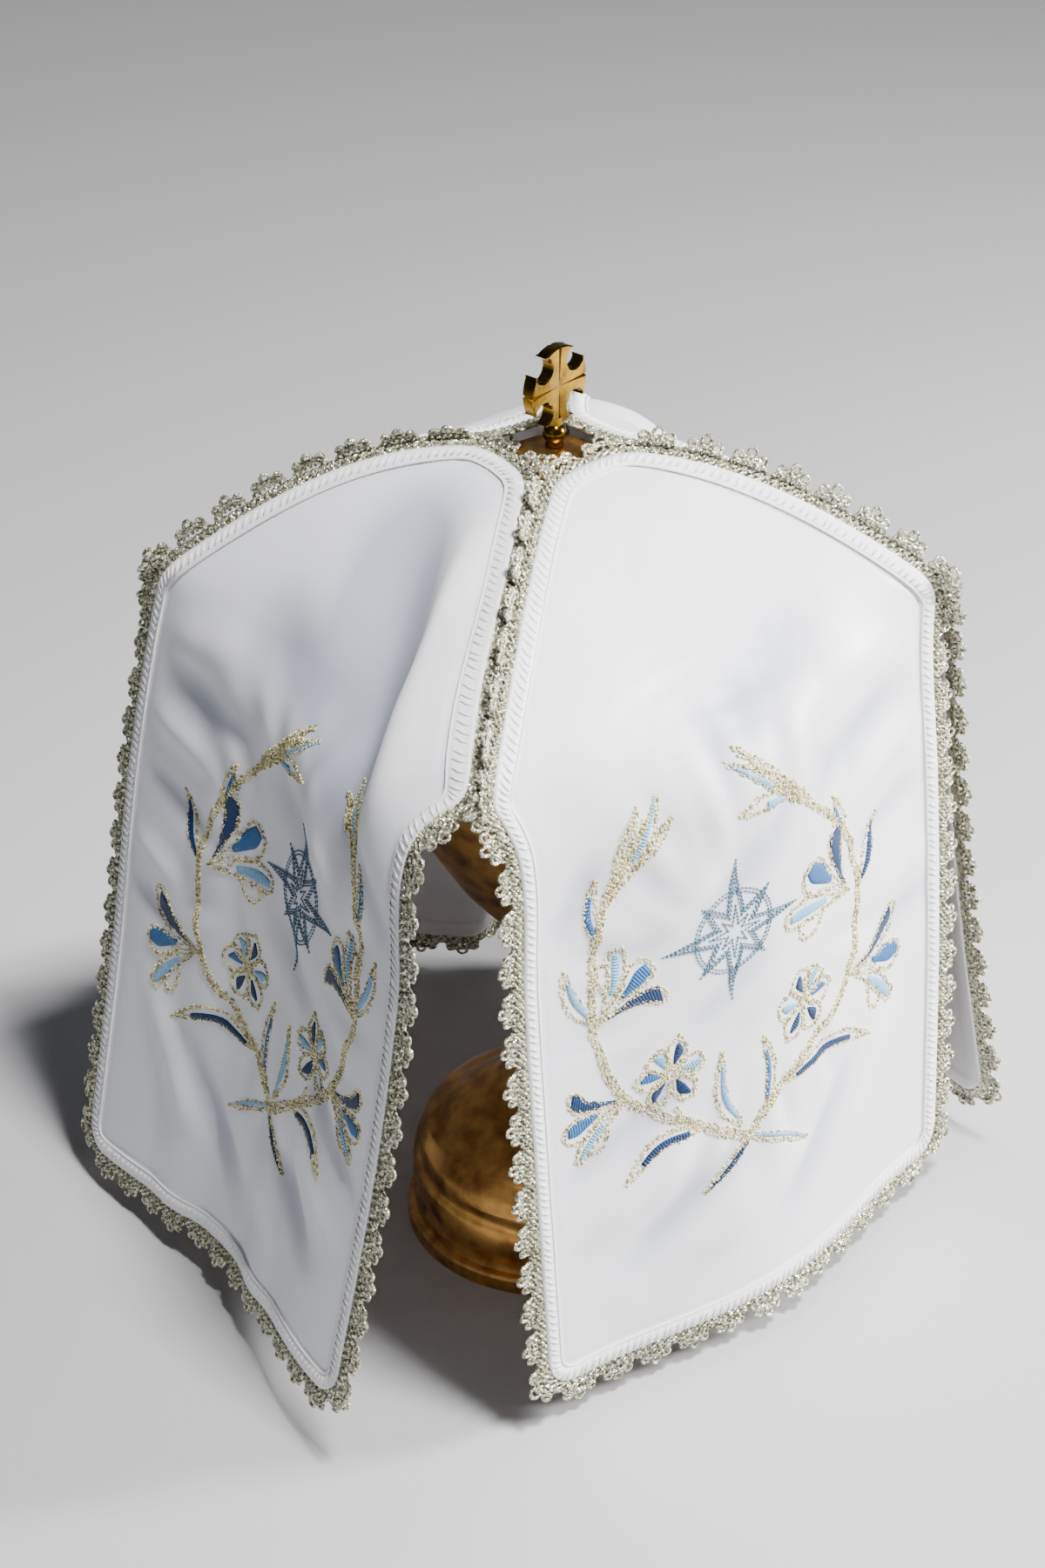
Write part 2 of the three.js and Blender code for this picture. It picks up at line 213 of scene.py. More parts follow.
class NodeTree:
    """Makes a material, adds shader nodes to it and joins them."""

    def __init__(self, name: str) -> None:
        """Starts a material with a principled shader.

        Args:
            name: Material name.
        """
        self.material = bpy.data.materials.new(name)
        self.material.use_nodes = True
        self.tree = self.material.node_tree
        self.tree.nodes.clear()
        out = self.add("ShaderNodeOutputMaterial")
        self.shader = self.add("ShaderNodeBsdfPrincipled")
        self.join(self.shader.outputs[0], out.inputs[0])

    def add(self, kind: str, **values: object) -> bpy.types.Node:
        """Adds a node and sets its plain properties.

        Args:
            kind: Node type.
            values: Plain properties to set.

        Returns:
            The new node.
        """
        node = self.tree.nodes.new(kind)
        for key, value in values.items():
            setattr(node, key, value)
        return node

    def join(self, source: bpy.types.NodeSocket, target: bpy.types.NodeSocket) -> None:
        """Links two sockets."""
        self.tree.links.new(source, target)

    def set(self, values: dict[str, float | tuple[float, ...]]) -> None:
        """Sets plain inputs of the shader.

        Args:
            values: Input names and their values.
        """
        for name, value in values.items():
            self.shader.inputs[name].default_value = value

    def feed(self, name: str, source: bpy.types.NodeSocket) -> None:
        """Joins a socket to a named input of the shader."""
        self.join(source, self.shader.inputs[name])

    def place(self, uv: bool) -> bpy.types.NodeSocket:
        """Coordinates of the piece, from its flat map or its own space."""
        return self.add("ShaderNodeTexCoord").outputs["UV" if uv else "Object"]

    def noise(self, vector: bpy.types.NodeSocket, scale: float, detail: float) -> bpy.types.NodeSocket:
        """Noise over a coordinate.

        Args:
            vector: Coordinate to read.
            scale: Fineness.
            detail: Layers of finer noise.

        Returns:
            The value socket.
        """
        node = self.add("ShaderNodeTexNoise")
        node.inputs["Scale"].default_value = scale
        node.inputs["Detail"].default_value = detail
        self.join(vector, node.inputs["Vector"])
        return node.outputs["Fac"]

    def ramp(self, source: bpy.types.NodeSocket, stops: list) -> bpy.types.NodeSocket:
        """Colours along a value.

        Args:
            source: Value to read.
            stops: Pairs of place and colour.

        Returns:
            The colour socket.
        """
        node = self.add("ShaderNodeValToRGB")
        band = node.color_ramp
        while len(band.elements) < len(stops):
            band.elements.new(0.5)
        for element, (place, colour) in zip(band.elements, stops):
            element.position = place
            element.color = (*colour, 1.0)
        self.join(source, node.inputs["Fac"])
        return node.outputs["Color"]

    def spread(self, source: bpy.types.NodeSocket, low: float, high: float) -> bpy.types.NodeSocket:
        """Maps 0 to 1 onto a range.

        Args:
            source: Value to read.
            low: Result at 0.
            high: Result at 1.

        Returns:
            The value socket.
        """
        node = self.add("ShaderNodeMapRange")
        node.inputs["To Min"].default_value = low
        node.inputs["To Max"].default_value = high
        self.join(source, node.inputs["Value"])
        return node.outputs["Result"]

    def bump(self, height: bpy.types.NodeSocket, strength: float, depth: float) -> None:
        """Raises the shader's surface by a height, over any bump it already has.

        Args:
            height: Height to read.
            strength: Share of the effect.
            depth: Height of a full step, in metres.
        """
        node = self.add("ShaderNodeBump")
        node.inputs["Strength"].default_value = strength
        node.inputs["Distance"].default_value = depth
        self.join(height, node.inputs["Height"])
        links = self.shader.inputs["Normal"].links
        if links:
            self.join(links[0].from_socket, node.inputs["Normal"])
        self.join(node.outputs["Normal"], self.shader.inputs["Normal"])

    def wave(
        self, vector: bpy.types.NodeSocket, scale: float, axis: str, distortion: float = 0.0
    ) -> bpy.types.NodeSocket:
        """Ridges across one axis of a coordinate.

        Args:
            vector: Coordinate to read.
            scale: Fineness.
            axis: Axis across the ridges.
            distortion: How far they waver.

        Returns:
            The value socket.
        """
        node = self.add("ShaderNodeTexWave", bands_direction=axis, wave_profile="SIN")
        node.inputs["Scale"].default_value = scale
        node.inputs["Distortion"].default_value = distortion
        self.join(vector, node.inputs["Vector"])
        return node.outputs["Fac"]


@dataclass(frozen=True)
class SatinFinish:
    """White satin with a fine twill and slight unevenness, painted shade in its creases and hem groove, and
    painted highlight on its ridges and hem band.
    """

    name: str = "satin_white"
    light: tuple[float, float, float] = (0.90, 0.90, 0.92)
    shade: tuple[float, float, float] = (0.85, 0.855, 0.885)
    # Painted light: the next three colours run from painted shade in creases and the hem groove, through
    # level cloth, to painted highlight on ridges and the hem band.
    painted_shading: tuple[float, float, float] = (0.53, 0.555, 0.635)
    plain: tuple[float, float, float] = (0.93, 0.935, 0.955)
    ridge: tuple[float, float, float] = (1.0, 1.0, 1.0)
    rough: tuple[float, float] = (0.36, 0.48)
    cloud: float = 60.0
    twill: float = 900.0
    grain: float = 1400.0
    depth: float = 0.0001

    def make(self) -> bpy.types.Material:
        """Builds the material.

        Returns:
            The finished material.
        """
        tree = NodeTree(self.name)
        flat = tree.place(True)
        cloudy = tree.noise(flat, self.cloud, 3.0)
        # Reads the cloth's painted-shading value per point and multiplies the colour by painted shade or
        # painted highlight.
        crease = tree.add("ShaderNodeAttribute", attribute_name="painted_shading").outputs["Fac"]
        painted_shading_mix = tree.add("ShaderNodeMix", data_type="RGBA", blend_type="MULTIPLY")
        painted_shading_mix.inputs[0].default_value = 1.0
        tree.join(tree.ramp(cloudy, [(0.3, self.shade), (0.7, self.light)]), painted_shading_mix.inputs[6])
        tones = [(0.0, self.painted_shading), (0.5, self.plain), (1.0, self.ridge)]
        tree.join(tree.ramp(crease, tones), painted_shading_mix.inputs[7])
        tree.feed("Base Color", painted_shading_mix.outputs[2])
        tree.feed("Roughness", tree.spread(cloudy, *self.rough))
        tree.set({"Sheen Weight": 0.08, "Sheen Roughness": 0.4, "Specular IOR Level": 0.45})
        tree.bump(tree.wave(flat, self.twill, "DIAGONAL", 0.6), 0.10, self.depth)
        tree.bump(tree.noise(flat, self.grain, 2.0), 0.08, self.depth)
        return tree.material


@dataclass(frozen=True)
class ThreadFinish:
    """Embroidery thread with a lustre and a fine twist."""

    name: str
    light: tuple[float, float, float]
    dark: tuple[float, float, float]
    metal: float = 0.0
    rough: float = 0.5
    ridges: float = 0.0
    grain: float = 2600.0
    relief: float = 0.5
    depth: float = 0.0003

    def make(self) -> bpy.types.Material:
        """Builds the material.

        Returns:
            The finished material.
        """
        tree = NodeTree(self.name)
        grain = tree.noise(tree.place(False), self.grain, 2.0)
        tree.feed("Base Color", tree.ramp(grain, [(0.36, self.dark), (0.62, self.light)]))
        tree.set({"Metallic": self.metal, "Roughness": self.rough, "Specular IOR Level": 0.3})
        if self.ridges:
            tree.bump(tree.wave(tree.place(True), self.ridges, "Y"), 0.7, self.depth)
        tree.bump(grain, self.relief, self.depth)
        return tree.material


@dataclass(frozen=True)
class LaceFinish:
    """Silver metal thread, twisted and sparkling."""

    name: str = "lace_silver"
    bright: tuple[float, float, float] = (0.88, 0.86, 0.67)
    dark: tuple[float, float, float] = (0.19, 0.185, 0.115)
    rough: tuple[float, float] = (0.42, 0.22)
    metal: float = 0.7
    twist: float = 1500.0
    grain: float = 900.0
    depth: float = 0.0006

    def make(self) -> bpy.types.Material:
        """Builds the material.

        Returns:
            The finished material.
        """
        tree = NodeTree(self.name)
        space = tree.place(False)
        cells = tree.add("ShaderNodeTexVoronoi")
        cells.inputs["Scale"].default_value = self.twist
        tree.join(space, cells.inputs["Vector"])
        patch = tree.noise(space, self.grain, 2.0)
        tree.feed("Base Color", tree.ramp(patch, [(0.38, self.dark), (0.60, self.bright)]))
        tree.feed("Roughness", tree.spread(patch, *self.rough))
        tree.set({"Metallic": self.metal})
        tree.bump(cells.outputs["Distance"], 0.8, self.depth)
        return tree.material


@dataclass(frozen=True)
class GiltFinish:
    """Polished gilt metal with soft tarnish in random patches."""

    name: str
    light: tuple[float, float, float] = (0.25, 0.145, 0.011)
    dark: tuple[float, float, float] = (0.12, 0.058, 0.006)
    rough: tuple[float, float] = (0.10, 0.22)
    grain: float = 220.0
    tooling: float = 1500.0
    depth: float = 0.0003

    def make(self) -> bpy.types.Material:
        """Builds the material.

        Returns:
            The finished material.
        """
        tree = NodeTree(self.name)
        space = tree.place(False)
        patch = tree.noise(space, self.grain, 4.0)
        tree.feed("Base Color", tree.ramp(patch, [(0.30, self.dark), (0.60, self.light)]))
        tree.feed("Roughness", tree.spread(patch, *self.rough))
        tree.set({"Metallic": 1.0})
        tree.bump(tree.noise(space, self.tooling, 2.0), 0.12, self.depth)
        return tree.material


POLISHED_GILT = GiltFinish("gilt_polished")
WORKED_GILT = GiltFinish(
    "gilt_worked", light=(0.70, 0.38, 0.11), dark=(0.34, 0.15, 0.04), rough=(0.26, 0.42), grain=140.0
)


@dataclass(frozen=True)
class FloorFinish:
    """Plain pale floor."""

    colour: tuple[float, float, float] = (0.52, 0.52, 0.53)
    rough: float = 0.55

    def make(self) -> bpy.types.Material:
        """Builds the material.

        Returns:
            The finished material.
        """
        tree = NodeTree("floor_pale")
        tree.set({"Base Color": (*self.colour, 1.0), "Roughness": self.rough})
        return tree.material


class Thread(Enum):
    """Kinds of thread in the needlework."""

    DARK = ThreadFinish("thread_dark_blue", (0.003, 0.036, 0.135), (0.001, 0.012, 0.055), ridges=330.0)
    MID = ThreadFinish("thread_mid_blue", (0.026, 0.15, 0.37), (0.012, 0.08, 0.24), ridges=330.0)
    PALE = ThreadFinish("thread_pale_blue", (0.28, 0.52, 0.74), (0.14, 0.35, 0.58), ridges=330.0)
    GOLD = ThreadFinish(
        "thread_pale_gold", (0.95, 0.875, 0.52), (0.61, 0.53, 0.24), metal=0.2, rough=0.30, grain=1800.0
    )
    BRONZE = ThreadFinish(
        "thread_deep_gold", (0.47, 0.39, 0.175), (0.23, 0.18, 0.07), metal=0.6, rough=0.28, grain=1800.0
    )
    STEEL = ThreadFinish(
        "thread_steel_blue", (0.13, 0.25, 0.34), (0.05, 0.11, 0.17), metal=0.25, rough=0.34, grain=1800.0
    )
    WHITE = ThreadFinish("thread_white", (0.90, 0.89, 0.88), (0.80, 0.79, 0.80), rough=0.42)


# The shape of the veil


class SeamName(Enum):
    """Seams that join neighbouring panels."""

    FRONT = "front"
    RIGHT = "right"
    BACK = "back"
    LEFT = "left"


class PanelName(Enum):
    """Panels of the veil."""

    FRONT_LEFT = "front_left"
    FRONT_RIGHT = "front_right"
    BACK_RIGHT = "back_right"
    BACK_LEFT = "back_left"


@dataclass(frozen=True)
class Seam:
    """A seam: azimuth in degrees, plan reach and extra height in the middle."""

    azimuth: float
    reach: float
    arch: float


@dataclass(frozen=True)
class EdgeRow:
    """Plan places of a panel's two free edges, at a share of the side's length."""

    down: float
    left: tuple[float, float]
    right: tuple[float, float]


@dataclass(frozen=True)
class Fold:
    """A fold across a panel: place and half width as shares, height at shoulder and hem."""

    at: float
    half: float
    shoulder: float
    hem: float


@dataclass(frozen=True)
class Crease:
    """A soft trough or ridge between two flat places, in millimetres."""

    start: tuple[float, float]
    end: tuple[float, float]
    width: float
    height: float


@dataclass(frozen=True)
class PanelSpec:
    """How one panel is sewn in and hangs."""

    seams: tuple[SeamName, SeamName]
    edges: tuple[EdgeRow, ...]
    deepest: float
    folds: tuple[Fold, ...]
    creases: tuple[Crease, ...] = ()
    mirrored: bool = False
    lace_over: tuple[bool, bool] = (False, False)


SEAMS = {
    SeamName.FRONT: Seam(-100.0, 112.0, 0.0),
    SeamName.RIGHT: Seam(2.6, 108.5, 1.5),
    SeamName.BACK: Seam(88.0, 112.0, 1.5),
    SeamName.LEFT: Seam(169.4, 114.0, 3.0),
}

FRONT_CREASES = (
    Crease((-74, 226), (-36, 203), 5.0, -1.9),
    Crease((-66, 246), (-30, 227), 6.5, 2.2),
    Crease((-54, 262), (-16, 238), 6.0, -2.2),
    Crease((-26, 268), (16, 243), 7.0, 2.2),
    Crease((4, 270), (40, 233), 6.5, -2.0),
    Crease((30, 262), (60, 224), 6.5, 1.9),
    Crease((-32, 188), (-4, 172), 5.0, -1.5),
    Crease((-8, 190), (22, 168), 6.0, 1.5),
    Crease((-28, 150), (8, 126), 7.0, -1.6),
    Crease((-42, 150), (-20, 136), 5.0, 1.5),
    Crease((22, 124), (68, 116), 7.0, -2.2),
    Crease((40, 138), (74, 130), 5.5, 1.9),
    Crease((46, 158), (74, 150), 4.5, -1.5),
    Crease((54, 182), (76, 174), 4.5, 1.5),
    Crease((52, 200), (76, 190), 4.5, -1.6),
    Crease((-76, 142), (-60, 120), 5.5, -1.5),
    Crease((-20, 100), (34, 82), 12.0, -2.4),
    Crease((36, 98), (70, 104), 8.0, 1.6),
)

LEFT_CREASES = FRONT_CREASES + (
    Crease((-50, 120), (4, 40), 11.5, -6.6),
    Crease((-38, 128), (14, 48), 11.0, -3.4),
    Crease((-65, 98), (-18, 38), 7.0, 6.0),
)

RIGHT_CREASES = FRONT_CREASES + (Crease((-62, 94), (-20, 64), 12.0, 2.0),)

BACK_CREASES = (
    Crease((-60, 230), (-26, 208), 8.0, 1.1),
    Crease((-10, 262), (26, 240), 8.0, -1.1),
    Crease((30, 130), (64, 118), 9.0, -1.3),
    Crease((-54, 134), (-20, 118), 9.0, 1.1),
)

PANELS = {
    PanelName.FRONT_LEFT: PanelSpec(
        seams=(SeamName.LEFT, SeamName.FRONT),
        edges=(
            EdgeRow(0.12, (-117.6, 20.5), (-37.5, -113)),
            EdgeRow(0.34, (-126, 19.6), (-41, -116)),
            EdgeRow(0.62, (-134, 18.4), (-48.5, -117)),
            EdgeRow(1.0, (-146.5, 17), (-62, -118)),
        ),
        deepest=9.0,
        folds=(
            Fold(0.88, 0.12, 1.0, 0.0),
            Fold(0.47, 0.47, 0.0, -1.0),
            Fold(0.30, 0.10, 0.0, 0.2),
            Fold(0.62, 0.10, 0.0, 0.2),
        ),
        creases=LEFT_CREASES,
        mirrored=True,
    ),
    PanelName.FRONT_RIGHT: PanelSpec(
        seams=(SeamName.FRONT, SeamName.RIGHT),
        edges=(
            EdgeRow(0.12, (-10, -109.3), (108.8, 5.6)),
            EdgeRow(0.34, (-8.6, -107.8), (113.3, 7.1)),
            EdgeRow(0.62, (-5.5, -106.2), (117.5, 8.6)),
            EdgeRow(1.0, (-1, -104), (121.3, 11)),
        ),
        deepest=14.0,
        folds=(Fold(0.5, 0.5, 1.0, 1.0),),
        creases=RIGHT_CREASES,
        lace_over=(True, True),
    ),
    PanelName.BACK_RIGHT: PanelSpec(
        seams=(SeamName.RIGHT, SeamName.BACK),
        edges=(
            EdgeRow(0.12, (113.5, 14.2), (11, 114)),
            EdgeRow(0.34, (118.5, 18.5), (17, 116)),
            EdgeRow(0.62, (126.5, 23.5), (21, 121)),
            EdgeRow(1.0, (140, 31), (22, 132)),
        ),
        deepest=24.0,
        folds=(
            Fold(0.28, 0.28, 0.1, 0.8),
            Fold(0.54, 0.20, -0.5, -0.5),
            Fold(0.79, 0.21, 0.4, 0.9),
        ),
        creases=BACK_CREASES,
        mirrored=True,
    ),
    PanelName.BACK_LEFT: PanelSpec(
        seams=(SeamName.BACK, SeamName.LEFT),
        edges=(
            EdgeRow(0.12, (-3, 114), (-115.5, 33.5)),
            EdgeRow(0.34, (-8, 116), (-120, 42)),
            EdgeRow(0.62, (-13, 121), (-124, 49)),
            EdgeRow(1.0, (-20, 134), (-128, 56)),
        ),
        deepest=24.0,
        folds=(
            Fold(0.24, 0.24, -0.25, 0.9),
            Fold(0.50, 0.20, -0.5, -0.55),
            Fold(0.76, 0.24, -0.25, 0.75),
        ),
        creases=BACK_CREASES,
        lace_over=(True, True),
    ),
}


@dataclass(frozen=True)
class VeilCut:
    """Flat cut of one panel, in millimetres: x across, v down from its square corner."""

    width: float = 170.0
    side: float = 209.0
    margin: float = 3.0
    top_cut: float = 15.5
    top_soft: float = 5.0
    shoulder_round: float = 7.0
    corner_round: float = 10.0
    crown_z: float = 266.0
    droop: float = 0.0036
    bend_reach: float = 26.0
    hem_band: float = 4.9
    outline_step: float = 0.5
    outline_ease: float = 6.0

    @property
    def half(self) -> float:
        """Half the panel's width."""
        return self.width / 2

    @property
    def hem(self) -> float:
        """Flat distance of the hem below the square corner."""
        return self.half + self.side

    def _round_in(self, x: np.ndarray, radius: float) -> np.ndarray:
        """How far a rounded corner draws in at a place across."""
        past = np.maximum(0.0, np.abs(x) - (self.half - radius))
        return radius - np.sqrt(np.maximum(0.0, radius**2 - past**2))

    def upper(self, x: np.ndarray) -> np.ndarray:
        """Top limit of the cloth.

        Args:
            x: Flat places across, in millimetres.

        Returns:
            Flat places down.
        """
        slant = np.abs(x) + self.margin * math.sqrt(2)
        cut = (slant + self.top_cut + np.hypot(slant - self.top_cut, self.top_soft)) / 2
        return cut + 0.55 * self._round_in(x, self.shoulder_round)

    def lower(self, x: np.ndarray) -> np.ndarray:
        """Bottom limit of the cloth."""
        return self.hem - self._round_in(x, self.corner_round)

    def below_seam(self, x: np.ndarray, v: np.ndarray) -> np.ndarray:
        """Flat distance down from the cloth's sloping edge."""
        return v - np.abs(x) - self.margin * math.sqrt(2)

    def inset(self, x: np.ndarray, v: np.ndarray) -> np.ndarray:
        """Distance in from the nearest edge, eased at the corners.

        Args:
            x: Flat places across, in millimetres.
            v: Flat places down, in millimetres.

        Returns:
            Distances in millimetres.
        """
        slant = self.below_seam(x, v) / math.sqrt(2)
        sides = [self.half - np.abs(x), self.hem - v, slant, v - self.top_cut - 0.6]
        soft = 1.2
        return -soft * np.log(sum(np.exp(-np.clip(s, -8, 60) / soft) for s in sides))

    def area(self) -> float:
        """Flat area of the cut in square metres."""
        x = np.linspace(-self.half, self.half, 1201)
        return float(np.mean(self.lower(x) - self.upper(x))) * self.width * MM * MM

    def outline(self) -> tuple[np.ndarray, np.ndarray]:
        """Edge of the cut, from the middle of the top round by the right side.

        Returns:
            Places along the edge and eased outward directions.
        """
        half, hem, r = self.half, self.hem, self.corner_round
        turn = np.linspace(0, np.pi / 2, 20)
        x = np.concatenate([np.linspace(0, half - 2, 160), half - 2 * np.cos(turn)])
        top = np.stack([x, self.upper(x)], axis=1)
        corner = np.stack([half - r + r * np.cos(turn), hem - r + r * np.sin(turn)], axis=1)
        right = np.vstack([top, corner, [[0.0, hem]]])
        left = right[-2:0:-1] * [-1, 1]
        loop = respace(np.vstack([right, left, right[:1]]), self.outline_step)[:-1]
        along = np.roll(loop, -1, axis=0) - np.roll(loop, 1, axis=0)
        out = unit(np.stack([along[:, 1], -along[:, 0]], axis=1))
        ease = int(round(self.outline_ease / self.outline_step))
        eased = sum(np.roll(out, k, axis=0) for k in range(-ease, ease + 1))
        return loop, unit(eased)

    def edge_length(self) -> float:
        """Length of the whole edge in millimetres."""
        return self.outline_step * len(self.outline()[0])


class PanelSurface:
    """Maps flat places of one panel onto its hanging shape."""

    STEP = 0.5
    SPANS = 48
    HALVINGS = 24
    SHOULDER_TILT = 1.05
    PUCKER_MIDDLE = (-8.0, 172.0)
    PUCKER_REACH = (52.0, 62.0)
    PUCKER_HEIGHT = 0.42
    PUCKER_BAND = 0.26

    def __init__(self, spec: PanelSpec, cut: VeilCut) -> None:
        """Tabulates the panel's cross sections.

        Args:
            spec: How the panel hangs.
            cut: Its flat cut.
        """
        self.spec = spec
        self.cut = cut
        self._tabulate()

    def _seam(self, name: SeamName, v: np.ndarray) -> np.ndarray:
        """Points along a seam at flat distances below the square corner.

        Args:
            name: Which seam.
            v: Flat distances to find.

        Returns:
            Points in millimetres.
        """
        seam, droop = SEAMS[name], self.cut.droop
        reach = np.linspace(0, seam.reach * 1.2, 1500)
        slope = 2 * droop * reach
        run = reach / 2 * np.sqrt(1 + slope**2) + np.arcsinh(slope) / (4 * droop)
        whole = np.interp(seam.reach, reach, run)
        r = np.interp(whole * v / self.cut.half, run, reach)
        height = self.cut.crown_z - droop * r * r + seam.arch * hump(2 * r / seam.reach - 1)
        angle = math.radians(seam.azimuth)
        return np.stack([r * math.cos(angle), r * math.sin(angle), height], axis=1)

    def _edge(self, rows: list[tuple[float, np.ndarray]], top: float, t: np.ndarray) -> np.ndarray:
        """Points down a free edge that keeps its sewn length.

        Args:
            rows: Shares of the side and their plan places.
            top: Height of the shoulder.
            t: Shares of the side to find.

        Returns:
            The points.
        """
        downs = np.array([row[0] for row in rows])
        plan = np.array([row[1] for row in rows])
        before = np.maximum(np.arange(len(rows)) - 1, 0)
        after = np.minimum(np.arange(len(rows)) + 1, len(rows) - 1)
        slopes = (plan[after] - plan[before]) / (downs[after] - downs[before])[:, None]

        def curve(share: np.ndarray) -> np.ndarray:
            """Plan places at shares of the side.

            Args:
                share: Shares of the side.

            Returns:
                Plan places in millimetres.
            """
            i = np.clip(np.searchsorted(downs, share, side="left") - 1, 0, len(rows) - 2)
            span = downs[i + 1] - downs[i]
            q = ((share - downs[i]) / span)[:, None]
            span = span[:, None]
            bend = (q**3 - 2 * q**2 + q) * slopes[i] + (q**3 - q**2) * slopes[i + 1]
            ends = (2 * q**3 - 3 * q**2 + 1) * plan[i] + (3 * q**2 - 2 * q**3) * plan[i + 1]
            return ends + bend * span

        marks = np.linspace(0, 1, 401)
        places = curve(marks)
        step = np.linalg.norm(np.diff(places, axis=0), axis=1)
        run = self.cut.side / 400
        drop = np.sqrt(np.maximum(run * run - step * step, 0.04 * run * run))
        heights = top - np.concatenate([[0], np.cumsum(drop)])
        return np.column_stack([curve(t), np.interp(t, marks, heights)])

    def _fold_shape(self, s: np.ndarray, v: np.ndarray) -> np.ndarray:
        """Relative height of the folds at a share of the width.

        Args:
            s: Shares of the width.
            v: Flat places down, in millimetres.

        Returns:
            Heights as shares of the section's depth.
        """
        t = smooth(self.cut.half * 0.8, self.cut.half * 1.8, v)
        total = 0.0
        for fold in self.spec.folds:
            total = total + (fold.shoulder + (fold.hem - fold.shoulder) * t) * hump((s - fold.at) / fold.half)
        return total

    def _tabulate(self) -> None:
        """Works out the ends, direction and depth of every cross section."""
        cut, spec, half = self.cut, self.spec, self.cut.half
        v = np.arange(0, cut.hem + self.STEP, self.STEP)
        ends = []
        for side, key in enumerate(("left", "right")):
            points = self._seam(spec.seams[side], np.minimum(v, half))
            shoulder = self._seam(spec.seams[side], np.array([half]))[0]
            rows = [(0.0, shoulder[:2])]
            rows += [(row.down, np.array(getattr(row, key), float)) for row in spec.edges]
            free = v > half
            points[free] = self._edge(rows, shoulder[2], np.minimum((v[free] - half) / cut.side, 1.0))
            ends.append(points)
        left, chord = ends[0], ends[1] - ends[0]
        width = 2 * np.clip(v, 2.0, half)
        lift = self.SHOULDER_TILT * (1 - smooth(half * 0.6, half * 1.5, v))
        out = unit(np.stack([chord[:, 1], -chord[:, 0], 0 * v], axis=1))
        normal = out * np.cos(lift)[:, None]
        normal[:, 2] = np.sin(lift)
        span = np.linalg.norm(chord, axis=1)[:, None]
        shape = self._fold_shape(np.linspace(0, 1, self.SPANS + 1)[None, :], v[:, None])
        low, high = np.zeros(len(v)), np.full(len(v), spec.deepest)
        for _ in range(self.HALVINGS):
            middle = (low + high) / 2
            run = np.hypot(span / self.SPANS, np.diff(shape, axis=1) * middle[:, None]).sum(axis=1)
            short = run < 2 * np.minimum(v, half)
            low, high = np.where(short, middle, low), np.where(short, high, middle)
        depth = low * smooth(half * 0.3, half * 1.05, v)
        self.table = np.column_stack([left, chord, normal, depth, width])

    def _bare(self, x: np.ndarray, v: np.ndarray) -> np.ndarray:
        """Points on the cross sections, before the bend is eased.

        Args:
            x: Flat places across, in millimetres.
            v: Flat places down, in millimetres.

        Returns:
            Points in millimetres.
        """
        place = np.clip(v, 2.0, self.cut.hem) / self.STEP
        i = np.minimum(place.astype(int), len(self.table) - 2)
        row = self.table[i] + (self.table[i + 1] - self.table[i]) * (place - i)[:, None]
        s = x / row[:, 10] + 0.5
        height = row[:, 9] * self._fold_shape(np.clip(s, 0, 1), v)
        return row[:, 0:3] + row[:, 3:6] * s[:, None] + row[:, 6:9] * height[:, None]

    def _eased(self, x: np.ndarray, v: np.ndarray) -> np.ndarray:
        """Points with the bend over the shoulders eased away from the edges.

        Args:
            x: Flat places across, in millimetres.
            v: Flat places down, in millimetres.

        Returns:
            Points in millimetres.
        """
        half = self.cut.half
        room = np.maximum(0.0, 1 - (x / half) ** 2)
        reach = self.cut.bend_reach * room * hump((v - half) / (half * 1.1))
        total = sum((4 - abs(k)) * self._bare(x, v + reach * k / 3) for k in range(-3, 4))
        return total / 16.0

    def place(self, x: np.ndarray, v: np.ndarray) -> np.ndarray:
        """Points for flat places, running straight on beyond the sides and the hem.

        Args:
            x: Flat places across, in millimetres.
            v: Flat places down, in millimetres.

        Returns:
            Points in millimetres.
        """
        cx = np.clip(x, -self.cut.half, self.cut.half)
        cv = np.minimum(v, self.cut.hem)
        base = self._eased(cx, cv)
        inward = np.where(cx > 0, -2.0, 2.0)
        across = (base - self._eased(cx + inward, cv)) * ((x - cx) / -inward)[:, None]
        down = (base - self._eased(cx, cv - 2.0)) * ((v - cv) / 2.0)[:, None]
        return base + across + down

    def normal(self, x: np.ndarray, v: np.ndarray) -> np.ndarray:
        """Outward normals at flat places.

        Args:
            x: Flat places across, in millimetres.
            v: Flat places down, in millimetres.

        Returns:
            Unit vectors.
        """
        across = self.place(x + 1, v) - self.place(x - 1, v)
        down = self.place(x, v + 1) - self.place(x, v - 1)
        return unit(np.cross(down, across))

